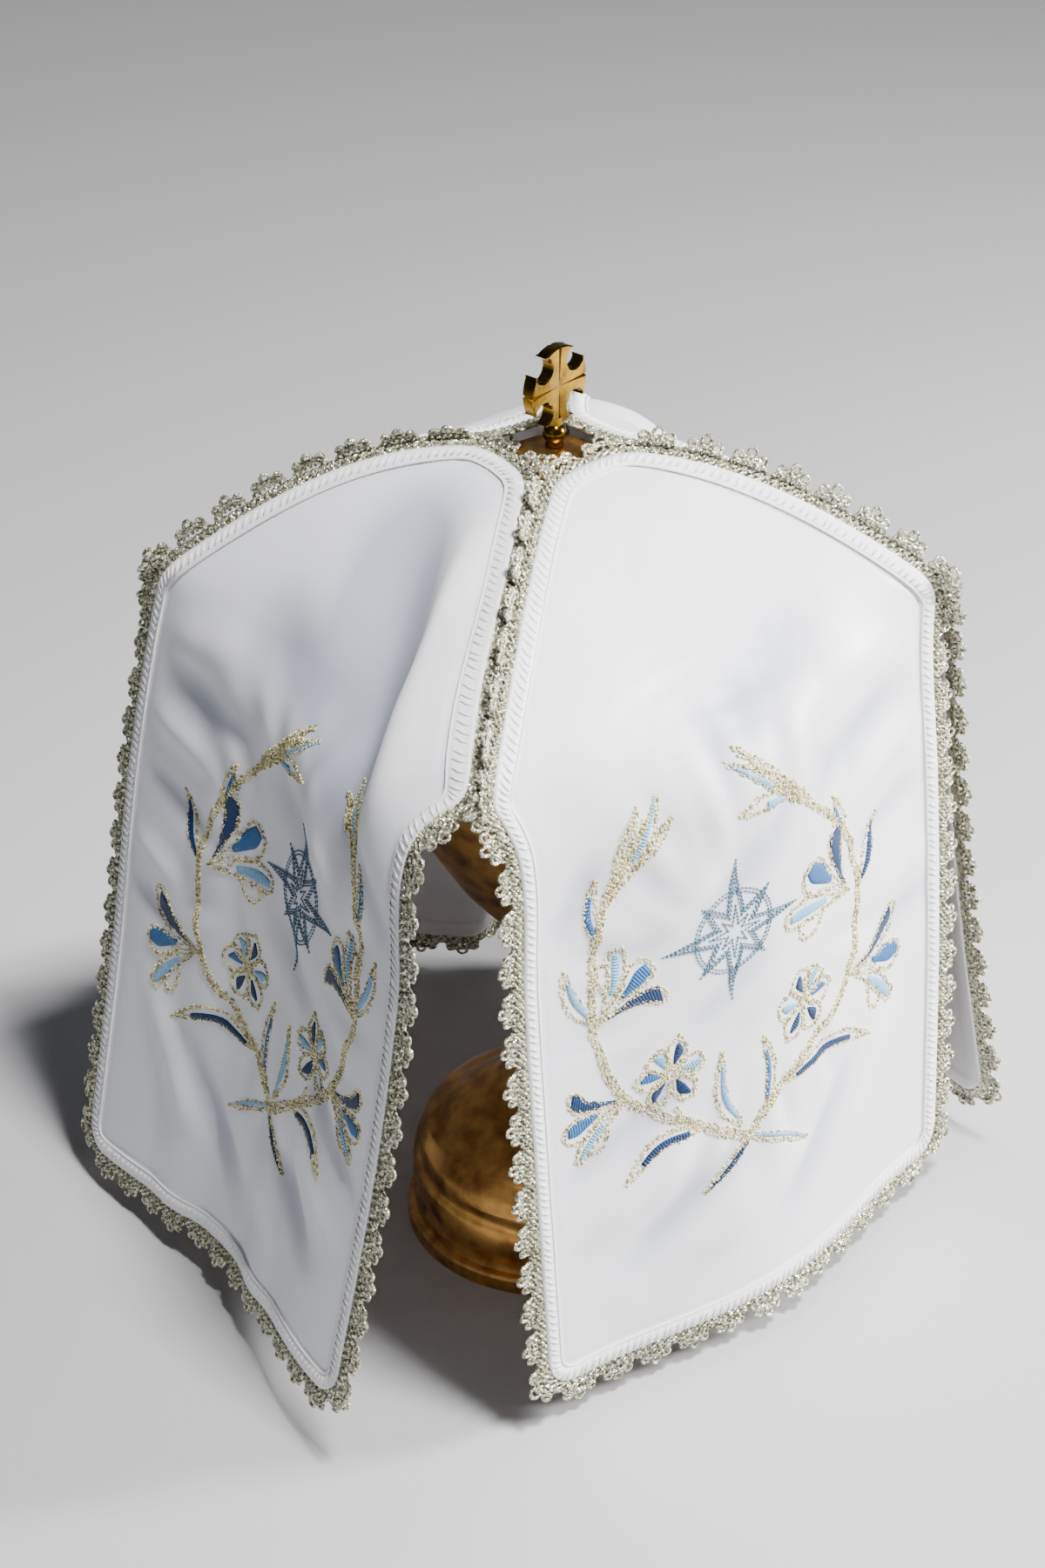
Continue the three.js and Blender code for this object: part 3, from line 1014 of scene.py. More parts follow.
    def relief(self, x: np.ndarray, v: np.ndarray) -> np.ndarray:
        """Height of creases and of the puckers round the needlework.

        Args:
            x: Flat places across, in millimetres.
            v: Flat places down, in millimetres.

        Returns:
            Heights in millimetres.
        """
        sign = -1.0 if self.spec.mirrored else 1.0
        fx = sign * x
        total = np.zeros_like(fx, dtype=float)
        for crease in self.spec.creases:
            a, b = np.array(crease.start, float), np.array(crease.end, float)
            run = b - a
            size = np.linalg.norm(run)
            t = ((fx - a[0]) * run[0] + (v - a[1]) * run[1]) / size**2
            off = ((fx - a[0]) * run[1] - (v - a[1]) * run[0]) / size
            window = smooth(-0.25, 0.35, t) * (1 - smooth(0.65, 1.25, t))
            total += crease.height * np.exp(-((off / crease.width) ** 2)) * window
        dx = (fx - self.PUCKER_MIDDLE[0]) / self.PUCKER_REACH[0]
        dv = (v - self.PUCKER_MIDDLE[1]) / self.PUCKER_REACH[1]
        ring = np.hypot(dx, dv)
        angle = np.arctan2(dv, dx)
        waves = np.sin(17 * angle + 2.1 * ring) + 0.6 * np.sin(29 * angle - 3.0 * ring + 1.0)
        total += self.PUCKER_HEIGHT * waves * np.exp(-(((ring - 1.0) / self.PUCKER_BAND) ** 2))
        keep = smooth(0.0, 8.0, self.cut.inset(x, v))
        return total * keep

    def at(self, x: np.ndarray, v: np.ndarray, lift: float | np.ndarray) -> np.ndarray:
        """Points in metres at a height above the creased cloth's middle.

        Args:
            x: Flat places across.
            v: Flat places down.
            lift: Height along the outward normal, in millimetres.

        Returns:
            Points in the row frame.
        """
        x, v = np.asarray(x, float), np.asarray(v, float)
        height = self.relief(x, v) + lift
        return (self.place(x, v) + self.normal(x, v) * height[:, None]) * MM


# Stitches, by one node tree


class StitchTree:
    """Geometry node tree that lays a rounded stitch on every marked point."""

    def __init__(self) -> None:
        """Builds the tree with its named inputs."""
        self.group = bpy.data.node_groups.new("lay_stitches", "GeometryNodeTree")
        face = self.group.interface
        face.new_socket("Points", in_out="INPUT", socket_type="NodeSocketGeometry")
        for name, value in (("Length", 0.0013), ("Width", 0.0005), ("Height", 0.0003)):
            socket = face.new_socket(name, in_out="INPUT", socket_type="NodeSocketFloat")
            socket.default_value = value
        face.new_socket("Thread", in_out="INPUT", socket_type="NodeSocketMaterial")
        face.new_socket("Stitches", in_out="OUTPUT", socket_type="NodeSocketGeometry")
        nodes, links = self.group.nodes, self.group.links
        source, sink = nodes.new("NodeGroupInput"), nodes.new("NodeGroupOutput")
        body = nodes.new("GeometryNodeMeshUVSphere")
        body.inputs["Segments"].default_value = 4
        body.inputs["Rings"].default_value = 3
        body.inputs["Radius"].default_value = 0.5
        size = nodes.new("ShaderNodeCombineXYZ")
        for axis, name in (("X", "Length"), ("Y", "Width"), ("Z", "Height")):
            links.new(source.outputs[name], size.inputs[axis])
        fit = nodes.new("GeometryNodeTransform")
        links.new(body.outputs["Mesh"], fit.inputs["Geometry"])
        links.new(size.outputs[0], fit.inputs["Scale"])
        aim = self._vector("aim")
        rise = self._vector("rise")
        turn = nodes.new("FunctionNodeAxesToRotation")
        turn.primary_axis = "X"
        turn.secondary_axis = "Z"
        links.new(aim, turn.inputs["Primary Axis"])
        links.new(rise, turn.inputs["Secondary Axis"])
        points = nodes.new("GeometryNodeMeshToPoints")
        links.new(source.outputs["Points"], points.inputs["Mesh"])
        lay = nodes.new("GeometryNodeInstanceOnPoints")
        links.new(points.outputs[0], lay.inputs["Points"])
        links.new(fit.outputs[0], lay.inputs["Instance"])
        links.new(turn.outputs[0], lay.inputs["Rotation"])
        real = nodes.new("GeometryNodeRealizeInstances")
        links.new(lay.outputs[0], real.inputs[0])
        soft = nodes.new("GeometryNodeSetShadeSmooth")
        links.new(real.outputs[0], soft.inputs[0])
        dress = nodes.new("GeometryNodeSetMaterial")
        links.new(soft.outputs[0], dress.inputs[0])
        links.new(source.outputs["Thread"], dress.inputs["Material"])
        links.new(dress.outputs[0], sink.inputs[0])

    def _vector(self, name: str) -> bpy.types.NodeSocket:
        """Reads a vector attribute of the points.

        Args:
            name: Attribute name.

        Returns:
            The vector socket.
        """
        node = self.group.nodes.new("GeometryNodeInputNamedAttribute")
        node.data_type = "FLOAT_VECTOR"
        node.inputs["Name"].default_value = name
        return node.outputs["Attribute"]

    def sew(
        self,
        name: str,
        places: np.ndarray,
        aims: np.ndarray,
        rises: np.ndarray,
        size: tuple[float, float, float],
        thread: bpy.types.Material,
    ) -> bpy.types.Object:
        """Lays stitches and returns them as one plain mesh.

        Args:
            name: Object name.
            places: Middles of the stitches, in metres.
            aims: Directions the stitches run in.
            rises: Outward directions.
            size: Length, width and height of a stitch, in metres.
            thread: Finish of the thread.

        Returns:
            The stitches as an object.
        """
        mesh = bpy.data.meshes.new(name)
        mesh.from_pydata(np.asarray(places).tolist(), [], [])
        for key, values in (("aim", aims), ("rise", rises)):
            layer = mesh.attributes.new(key, "FLOAT_VECTOR", "POINT")
            layer.data.foreach_set("vector", np.asarray(values, np.float32).ravel())
        piece = bpy.data.objects.new(name, mesh)
        bpy.context.scene.collection.objects.link(piece)
        tool = piece.modifiers.new("stitches", "NODES")
        tool.node_group = self.group
        wanted = dict(zip(("Length", "Width", "Height"), size))
        wanted["Thread"] = thread
        for item in self.group.interface.items_tree:
            if item.in_out == "INPUT" and item.name in wanted:
                tool[item.identifier] = wanted[item.name]
        bpy.context.view_layer.update()
        graph = bpy.context.evaluated_depsgraph_get()
        result = bpy.data.meshes.new_from_object(piece.evaluated_get(graph))
        piece.modifiers.remove(tool)
        piece.data = result
        result.name = name
        bpy.data.meshes.remove(mesh)
        return piece


# Needlework


@dataclass
class Needlework:
    """Fills and running stitch lines of an embroidery, in flat millimetres."""

    fills: dict[Thread, list[tuple[np.ndarray, np.ndarray]]] = field(default_factory=dict)
    rows: dict[Thread, list[np.ndarray]] = field(default_factory=dict)

    def fill(self, thread: Thread, one: np.ndarray, other: np.ndarray) -> None:
        """Adds a satin stitch fill between two rails.

        Args:
            thread: Thread of the fill.
            one: First rail.
            other: Second rail.
        """
        count = max(6, int(np.linalg.norm(np.diff(one, axis=0), axis=1).sum() / 0.7))
        rails = []
        for rail in (one, other):
            marks = np.linspace(0, 1, len(rail))
            want = np.linspace(0, 1, count)
            rails.append(np.stack([np.interp(want, marks, rail[:, k]) for k in (0, 1)], axis=1))
        self.fills.setdefault(thread, []).append((rails[0], rails[1]))

    def row(self, thread: Thread, line: np.ndarray) -> None:
        """Adds a line of running stitches."""
        self.rows.setdefault(thread, []).append(line)


def offset_line(line: np.ndarray, gap: float | np.ndarray) -> np.ndarray:
    """A flat line moved sideways.

    Args:
        line: The line's places.
        gap: How far to its left, one value or one for each place.

    Returns:
        The moved line.
    """
    along = unit(np.gradient(line, axis=0))
    side = np.stack([along[:, 1], -along[:, 0]], axis=1)
    return line + side * np.broadcast_to(gap, (len(line),))[:, None]


@dataclass(frozen=True)
class Leaf:
    """A long leaf or bud: base, middle and tip, half width, fill thread and its side."""

    base: tuple[float, float]
    middle: tuple[float, float]
    tip: tuple[float, float]
    half: float
    thread: Thread | None
    side: int = 1
    span: tuple[float, float] = (0.1, 0.8)

    def draw(self, work: Needlework) -> None:
        """Adds the leaf to an embroidery.

        Args:
            work: Embroidery that takes the stitches.
        """
        spine = spline([self.base, self.middle, self.tip], 0.5)
        t = np.linspace(0, 1, len(spine))
        half = self.half * np.sin(np.pi * t**0.8) ** 0.75 + 0.25
        for sign in (1, -1):
            work.row(Thread.GOLD, offset_line(spine, sign * half))
            work.row(Thread.GOLD, offset_line(spine, sign * np.maximum(half - 0.75, 0.1)))
        if self.thread is None:
            work.row(Thread.GOLD, spine)
            return
        part = (t >= self.span[0]) & (t <= self.span[1])
        inner = spine[part]
        outer = offset_line(spine, self.side * (half + 0.1))[part]
        work.fill(self.thread, inner, outer)


class Bloom(Enum):
    """How a lily is drawn."""

    SIDE = "side"
    OPEN = "open"


@dataclass(frozen=True)
class Lily:
    """A lily: place of its base, heading in degrees, length, and how it is drawn."""

    x: float
    v: float
    heading: float
    length: float
    bloom: Bloom = Bloom.SIDE
    flip: int = 1

    def _set(self, points: list[tuple[float, float]], step: float = 0.5) -> np.ndarray:
        """Local places, along and across in shares of the length, as a flat line.

        Args:
            points: Local places.
            step: Spacing of the returned places.

        Returns:
            The flat line, in millimetres.
        """
        line = spline(points, step / self.length)
        angle = math.radians(self.heading)
        along = np.array([math.cos(angle), math.sin(angle)])
        across = np.array([-along[1], along[0]]) * self.flip
        return np.array([self.x, self.v]) + self.length * (line[:, :1] * along + line[:, 1:] * across)

    def draw(self, work: Needlework) -> None:
        """Adds the lily to an embroidery.

        Args:
            work: Embroidery that takes the stitches.
        """
        if self.bloom is Bloom.SIDE:
            self._draw_side(work)
        else:
            self._draw_open(work)

    def _draw_side(self, work: Needlework) -> None:
        """A bell seen from its side, petals curling back.

        Args:
            work: Embroidery that takes the stitches.
        """
        petals = (
            [
                (0.10, 0.04), (0.34, 0.20), (0.60, 0.42), (0.84, 0.62),
                (0.96, 0.52), (0.82, 0.32), (0.60, 0.16),
            ],
            [
                (0.44, 0.08), (0.64, 0.18), (0.88, 0.22), (1.04, 0.08),
                (0.98, -0.10), (0.78, -0.12), (0.56, -0.04),
            ],
            [
                (0.12, -0.04), (0.36, -0.17), (0.56, -0.34), (0.70, -0.60),
                (0.85, -0.58), (0.86, -0.34), (0.62, -0.14),
            ],
            [(0.42, 0.30), (0.46, 0.52), (0.60, 0.64), (0.72, 0.54)],
        )
        for petal in petals:
            line = self._set(petal)
            work.row(Thread.GOLD, line)
            work.row(Thread.GOLD, offset_line(line, 0.8))
        for spread in (-0.15, -0.07, 0.01, 0.09, 0.17):
            work.row(Thread.GOLD, self._set([(0.02, 0.05 * spread), (0.26, 0.5 * spread), (0.56, spread)]))
        work.fill(
            Thread.DARK,
            self._set([(0.14, -0.03), (0.40, -0.10), (0.66, -0.19), (0.87, -0.36)]),
            self._set([(0.18, -0.08), (0.40, -0.21), (0.58, -0.38), (0.74, -0.60)]),
        )
        work.fill(
            Thread.MID,
            self._set([(0.48, 0.03), (0.66, 0.08), (0.84, 0.12), (1.00, 0.07)]),
            self._set([(0.48, -0.04), (0.64, -0.08), (0.80, -0.11), (0.97, -0.09)]),
        )
        work.fill(
            Thread.PALE,
            self._set([(0.44, 0.17), (0.62, 0.26), (0.80, 0.38), (0.92, 0.52)]),
            self._set([(0.42, 0.24), (0.58, 0.36), (0.74, 0.50), (0.86, 0.59)]),
        )

    def _draw_open(self, work: Needlework) -> None:
        """An open flower seen from the front, with pointed petals.

        Args:
            work: Embroidery that takes the stitches.
        """
        petals = (
            (20, 0.52, Thread.DARK), (85, 0.46, Thread.PALE), (150, 0.50, Thread.DARK),
            (215, 0.46, Thread.DARK), (280, 0.50, Thread.MID), (330, 0.42, Thread.PALE),
        )
        for turn, reach, thread in petals:
            a = math.radians(turn)
            ahead, aside = np.array([math.cos(a), math.sin(a)]), np.array([-math.sin(a), math.cos(a)])
            centre = np.array([0.5, 0.0])

            def spot(r: float, w: float) -> tuple[float, float]:
                """A place along and beside the petal."""
                place = centre + r * ahead + w * aside
                return float(place[0]), float(place[1])

            for sign in (1, -1):
                edge = [spot(0.06, 0), spot(0.24, 0.14 * sign), spot(0.40, 0.13 * sign), spot(reach, 0)]
                line = self._set(edge)
                work.row(Thread.GOLD, line)
                work.row(Thread.GOLD, offset_line(line, 0.7 * sign))
            work.fill(
                thread,
                self._set([spot(0.16, 0.02), spot(0.30, 0.10), spot(0.42, 0.02)]),
                self._set([spot(0.14, -0.01), spot(0.28, -0.03), spot(0.40, -0.02)]),
            )


@dataclass(frozen=True)
class LilyWreath:
    """An open wreath of two crossing lily branches."""

    left: tuple[tuple[float, float], ...] = (
        (-10, 234), (-29, 221), (-51, 204), (-60, 184), (-62, 164), (-59, 138), (-52, 124), (-43, 112),
    )
    right: tuple[tuple[float, float], ...] = (
        (-10, 234), (-2, 225), (16, 214), (34, 204), (41, 186), (41, 164), (30, 142), (8, 122), (-8, 109),
    )
    leaves: tuple[Leaf, ...] = (
        Leaf((-10, 234), (-17, 241), (-26, 248), 1.3, Thread.DARK, 1, (0.0, 1.0)),
        Leaf((-10, 234), (1, 239), (13, 245), 1.3, Thread.PALE, 1, (0.0, 1.0)),
        Leaf((-28, 222), (-42, 222), (-54, 232), 2.2, Thread.DARK, 1, (0.12, 0.75)),
        Leaf((-13, 228), (-20, 216), (-20, 199), 2.0, Thread.PALE, -1, (0.1, 0.85)),
        Leaf((-3, 226), (-1, 213), (-4, 200), 1.8, Thread.MID, 1, (0.1, 0.8)),
        Leaf((5, 221), (28, 219), (48, 228), 2.4, Thread.DARK, -1, (0.1, 0.75)),
        Leaf((-63, 171), (-69, 162), (-71, 151), 2.2, Thread.PALE, -1, (0.1, 0.8)),
        Leaf((-59, 146), (-62, 136), (-60, 126), 1.8, Thread.MID, 1, (0.2, 0.8)),
        Leaf((-55, 131), (-46, 121), (-38, 107), 2.2, Thread.PALE, 1, (0.35, 0.95)),
        Leaf((-52, 126), (-42, 120), (-35, 114), 1.8, None),
        Leaf((-56, 134), (-51, 119), (-45, 108), 1.8, None),
        Leaf((42, 170), (49, 161), (54, 151), 2.2, Thread.DARK, -1, (0.05, 0.85)),
        Leaf((33, 146), (31, 139), (27, 132), 1.8, Thread.MID, 1, (0.2, 0.8)),
        Leaf((16, 128), (2, 117), (-13, 106), 2.3, Thread.PALE, 1, (0.55, 0.98)),
        Leaf((6, 122), (-3, 120), (-13, 121), 2.3, Thread.PALE, 1, (0.05, 0.5)),
        Leaf((12, 126), (0, 113), (-9, 103), 1.6, None),
    )
    lilies: tuple[Lily, ...] = (
        Lily(-60, 174, -42, 22, Bloom.SIDE, -1),
        Lily(-52, 202, 168, 21, Bloom.SIDE, -1),
        Lily(-36, 212, -95, 25, Bloom.OPEN),
        Lily(12, 209, -82, 25, Bloom.OPEN, -1),
        Lily(37, 170, -138, 29, Bloom.SIDE, -1),
        Lily(38, 201, 10, 27, Bloom.SIDE, 1),
    )

    def draw(self, work: Needlework) -> None:
        """Adds the wreath to an embroidery.

        Args:
            work: Embroidery that takes the stitches.
        """
        for branch in (self.left, self.right):
            line = spline(list(branch), 0.5)
            t = np.linspace(0, 1, len(line))
            half = 1.5 * (1 - 0.4 * t)
            for share in (1.0, 0.5, 0.0, -0.5, -1.0):
                work.row(Thread.GOLD, offset_line(line, share * half))
        for leaf in self.leaves:
            leaf.draw(work)
        for lily in self.lilies:
            lily.draw(work)
        twig = spline([(-36, 212), (-33, 217), (-29, 221)], 0.5)
        work.row(Thread.GOLD, offset_line(twig, 0.6))
        work.row(Thread.GOLD, offset_line(twig, -0.6))


@dataclass(frozen=True)
class Star:
    """An eight-pointed star on a ring, in doubled running stitch."""

    x: float = -15.0
    v: float = 158.0
    reach: float = 24.0
    short: float = 16.5
    waist: float = 7.6
    ring: float = 12.6

    def draw(self, work: Needlework) -> None:
        """Adds the star and its ring to an embroidery.

        Args:
            work: Embroidery that takes the stitches.
        """
        for shrink in (1.0, 0.88, 0.72, 0.36):
            corners = []
            for k in range(16):
                radius = self.waist if k % 2 else (self.reach if k % 4 == 0 else self.short)
                angle = math.radians(22.5 * k - 90)
                place = np.array([math.cos(angle), math.sin(angle)]) * radius * shrink
                corners.append((self.x + place[0], self.v + place[1]))
            corners.append(corners[0])
            for a, b in zip(corners, corners[1:]):
                work.row(Thread.STEEL, respace(np.array([a, b]), 0.5))
        turn = np.linspace(0.0, 2 * np.pi, 90)
        for radius in (self.ring, self.ring + 1.1):
            circle = np.stack([self.x + radius * np.cos(turn), self.v + radius * np.sin(turn)], axis=1)
            work.row(Thread.STEEL, circle)


# Sub-assemblies


@dataclass(frozen=True)
class WavyCord:
    """A cord of the lace's heading: middle and swing out from the edge, and its height."""

    middle: float
    swing: float
    lift: float


@dataclass(frozen=True)
class FanArch:
    """An arch of a lace fan: half span, foot and rise out from the edge, height and points."""

    half: float
    foot: float
    rise: float
    lift: float
    points: int


@dataclass(frozen=True)
class Picot:
    """A loop of a lace fan: place along and out from the edge, and half sizes."""

    along: float
    out: float
    wide: float
    tall: float


@dataclass(frozen=True)
class LacePlan:
    """Sizes of the lace in millimetres along, out from and above a panel's edge."""

    cord: float = 0.61
    cord_sides: int = 4
    band: tuple[float, ...] = (-0.5, 0.4, 1.3, 2.2, 3.1, 3.9)
    band_step: float = 1.0
    band_top: float = 0.25
    band_low: float = -0.35
    knob: float = 0.22
    knob_length: float = 2.0
    knob_width: float = 0.9
    wave_length: float = 2.5
    wave_points: int = 4
    wave_shift: float = 1.7
    wave_lift: float = 0.3
    waves: tuple[WavyCord, ...] = (
        WavyCord(0.95, 0.62, 0.35), WavyCord(2.2, 0.75, 0.6), WavyCord(3.4, 0.6, 0.35),
    )
    fan_pitch: float = 13.3
    fan_foot: float = 3.6
    seam_lift: float = 0.9
    seam_slope: float = 0.75
    seam_draw: float = 0.2
    arches: tuple[FanArch, ...] = (FanArch(5.3, 3.7, 3.0, 0.1, 13), FanArch(3.4, 3.7, 1.9, 0.35, 7))
    picots: tuple[Picot, ...] = (
        Picot(0.0, 7.4, 1.35, 1.65), Picot(-3.5, 6.2, 1.25, 1.2), Picot(3.5, 6.2, 1.25, 1.2),
    )
    picot_points: int = 10
    picot_lift: float = 0.25
    rays: tuple[float, ...] = (-2.2, 0.0, 2.2)
    ray_foot: float = 4.2
    ray_length: float = 2.0
    ray_lift: float = 0.3
    corner_fan: float = 2.5
    corner_grow: float = 1.5
    corner_free: float = 0.8
    shoulder_from: float = 40.0
    hole_half: float = 13.0
    hole_free: float = 0.55


@dataclass
class Panel:
    """One satin panel with its hem, lace and needlework."""

    name: PanelName
    cut: VeilCut
    stitches: StitchTree
    threads: dict[Thread, bpy.types.Material]
    satin: bpy.types.Material
    silver: bpy.types.Material
    columns: int = 86
    rows: int = 120
    cloth_half: float = 0.4
    # Scales, in millimetres, that turn crease relief and groove depth into painted shade and painted
    # highlight.
    painted_crease_shade: float = 4.6
    painted_groove_shade: float = 2.6
    hem_rise: float = 0.7
    groove_depth: float = 0.34
    groove_place: float = 0.9
    groove_half: float = 0.8
    piping_lift: float = 0.30
    piping_radius: float = 0.34
    piping_step: float = 1.6
    piping_sides: int = 5
    hem_pitch: float = 2.5
    hem_inset: float = 2.4
    hem_slant: float = 32.0
    hem_stray: float = 0.22
    hem_waver: float = 0.09
    hem_seed: int = 23
    hem_stitch: tuple[float, float, float] = (0.0050, 0.0011, 0.0008)
    fill_columns: int = 6
    fill_edge: float = 0.06
    fill_crown: float = 0.36
    fill_root: float = 0.25
    fill_map: float = 0.004
    row_pitch: float = 1.35
    row_lift: float = 0.12
    row_stitch: tuple[float, float, float] = (0.0012, 0.0006, 0.0006)
    gold_pitch: float = 1.2
    gold_turn: float = 0.5
    gold_stray: float = 0.22
    gold_stitch: tuple[float, float, float] = (0.0013, 0.00066, 0.0007)
    gold_seed: int = 11
    bronze_share: float = 0.28
    plan: LacePlan = LacePlan()
    surface: PanelSurface = field(init=False)

    def __post_init__(self) -> None:
        """Works out the panel's hanging shape."""
        self.surface = PanelSurface(PANELS[self.name], self.cut)

    def _hem(self, x: np.ndarray, v: np.ndarray) -> np.ndarray:
        """Extra height of the hem band and the groove inside it.

        Args:
            x: Flat places across, in millimetres.
            v: Flat places down, in millimetres.

        Returns:
            Heights in millimetres.
        """
        inset = self.cut.inset(x, v)
        band = self.cut.hem_band
        step = self.hem_rise * (1 - smooth(band - 0.5, band + 0.3, inset))
        groove = np.exp(-(((inset - band - self.groove_place) / self.groove_half) ** 2))
        return step - self.groove_depth * groove

    def build_cloth(self) -> bpy.types.Object:
        """Makes the cloth as a thin closed sheet on the panel's folds, with a painted-shading value per
        point.

        Returns:
            The cloth.
        """
        u = np.linspace(-1, 1, self.columns + 1)
        w = np.linspace(0, 1, self.rows + 1)
        x = self.cut.half * u * (1.12 - 0.12 * u**4)
        t = (w - 0.06 * np.sin(2 * np.pi * w))[:, None]
        v = (self.cut.upper(x) * (1 - t) + self.cut.lower(x) * t).ravel()
        x = np.tile(x, self.rows + 1)
        hem = self._hem(x, v)
        face = self.surface.at(x, v, self.cloth_half + hem)
        back = self.surface.at(x, v, -self.cloth_half - 0.5 * np.maximum(hem, 0))
        faces = sheet_faces(self.rows + 1, self.columns + 1)
        flat = np.stack([x, v], axis=1) * MM
        cloth = mesh_object(
            f"satin_{self.name.value}", np.vstack([face, back]), faces, self.satin, np.vstack([flat, flat])
        )
        # Painted light: low values paint shade into creases, puckers and the hem groove, high values paint
        # highlight on ridges and the hem band.
        depth = 0.5 + self.surface.relief(x, v) / self.painted_crease_shade + np.minimum(hem, 0.0) / self.painted_groove_shade
        depth += 0.5 * np.maximum(hem, 0.0) / self.hem_rise
        layer = cloth.data.attributes.new("painted_shading", "FLOAT", "POINT")
        layer.data.foreach_set("value", np.clip(np.tile(depth, 2), 0.0, 1.0).astype(np.float32))
        return cloth

    def _lay(self, places: np.ndarray, aims: np.ndarray, lift: float) -> tuple[np.ndarray, ...]:
        """Points, aims and rises in space for flat places and directions.

        Args:
            places: Flat places.
            aims: Flat directions.
            lift: Height above the cloth's middle.

        Returns:
            Points, aims and outward directions.
        """
        here = self.surface.at(places[:, 0], places[:, 1], lift)
        ahead = places + 0.5 * aims
        there = self.surface.at(ahead[:, 0], ahead[:, 1], lift)
        return here, unit(there - here), self.surface.normal(places[:, 0], places[:, 1])

    def build_hem_stitches(self) -> bpy.types.Object:
        """Overcast stitches slanting unevenly across the hem band.

        Returns:
            The stitches.
        """
        loop, out = self.cut.outline()
        chance = np.random.default_rng(self.hem_seed)
        step = int(round(self.hem_pitch / self.cut.outline_step))
        away = out[::step]
        along = np.stack([-away[:, 1], away[:, 0]], axis=1)
        shift = chance.normal(0.0, self.hem_stray, len(away))
        places = loop[::step] - self.hem_inset * away + shift[:, None] * along
        slant = math.radians(self.hem_slant) + chance.normal(0.0, self.hem_waver, len(away))
        aims = np.cos(slant)[:, None] * away + np.sin(slant)[:, None] * along
        here, aim, rise = self._lay(places, aims, self.cloth_half + self.hem_rise - 0.02)
        white = self.threads[Thread.WHITE]
        return self.stitches.sew(f"hem_{self.name.value}", here, aim, rise, self.hem_stitch, white)

    def build_piping(self) -> bpy.types.Object:
        """Fine turned edge along the inner side of the hem band.

        Returns:
            The turned edge.
        """
        whole = self.cut.edge_length()
        count = int(whole / self.piping_step)
        run = np.arange(count)[None, :] * whole / count
        lift = self.cloth_half + self.piping_lift
        path, normal = self._edge_points(run, np.full(run.shape, -self.cut.hem_band), lift)
        points, faces = sweep(path, normal, self.piping_radius * MM, self.piping_sides, True)
        return mesh_object(f"piping_{self.name.value}", points, faces, self.threads[Thread.WHITE])

    def _edge_points(
        self, s: np.ndarray, d: np.ndarray, lift: np.ndarray | float
    ) -> tuple[np.ndarray, np.ndarray]:
        """Points and normals for places along the edge and out from it.

        Args:
            s: Places along the edge.
            d: Distances out from it.
            lift: Heights above the cloth's middle.

        Returns:
            Points and outward directions, shaped as the places are.
        """
        loop, out = self.cut.outline()
        marks = np.arange(len(loop) + 1) * self.cut.outline_step
        spot = np.mod(s.ravel(), marks[-1])
        closed, turned = np.vstack([loop, loop[:1]]), np.vstack([out, out[:1]])
        base = np.stack([np.interp(spot, marks, closed[:, k]) for k in (0, 1)], axis=1)
        away = unit(np.stack([np.interp(spot, marks, turned[:, k]) for k in (0, 1)], axis=1))
        below = self.cut.below_seam(base[:, 0], base[:, 1])
        sewn = (1 - smooth(0.5, 6.0, below)) * smooth(8.0, 18.0, np.abs(base[:, 0]))
        reach = np.where(d.ravel() > 0, d.ravel() * (1 - self.plan.seam_draw * sewn), d.ravel())
        flat = base + away * reach[:, None]
        height = np.broadcast_to(lift, s.shape).ravel()
        points = self.surface.at(flat[:, 0], flat[:, 1], height)
        normals = self.surface.normal(flat[:, 0], flat[:, 1])
        return points.reshape(*s.shape, 3), normals.reshape(*s.shape, 3)

    def build_lace(self) -> bpy.types.Object:
        """Lace: a dense heading along the edge and fans of picots beyond it.

        Returns:
            The lace.
        """
        plan, whole = self.plan, self.cut.edge_length()
        points, faces, total = [], [], 0

        def keep(part: tuple[np.ndarray, list]) -> None:
            """Adds cords to the lace.

            Args:
                part: Vertices and faces of some cords.
            """
            nonlocal total
            points.append(part[0])
            faces.extend([[i + total for i in face] for face in part[1]])
            total += len(part[0])

        keep(self._heading(whole))
        count = int(whole / plan.wave_length) * plan.wave_points
        run = np.arange(count) * whole / count
        for k, cord in enumerate(plan.waves):
            phase = 2 * np.pi * np.arange(count) / plan.wave_points + plan.wave_shift * k
            wave = cord.middle + cord.swing * np.sin(phase)
            high = cord.lift + plan.wave_lift * np.cos(phase)
            path, normal = self._edge_points(run[None, :], wave[None, :], high[None, :])
            keep(sweep(path, normal, plan.cord * MM, plan.cord_sides, True))
        self._fans(keep, *self._fan_places(whole))
        return mesh_object(f"lace_work_{self.name.value}", np.vstack(points), faces, self.silver)

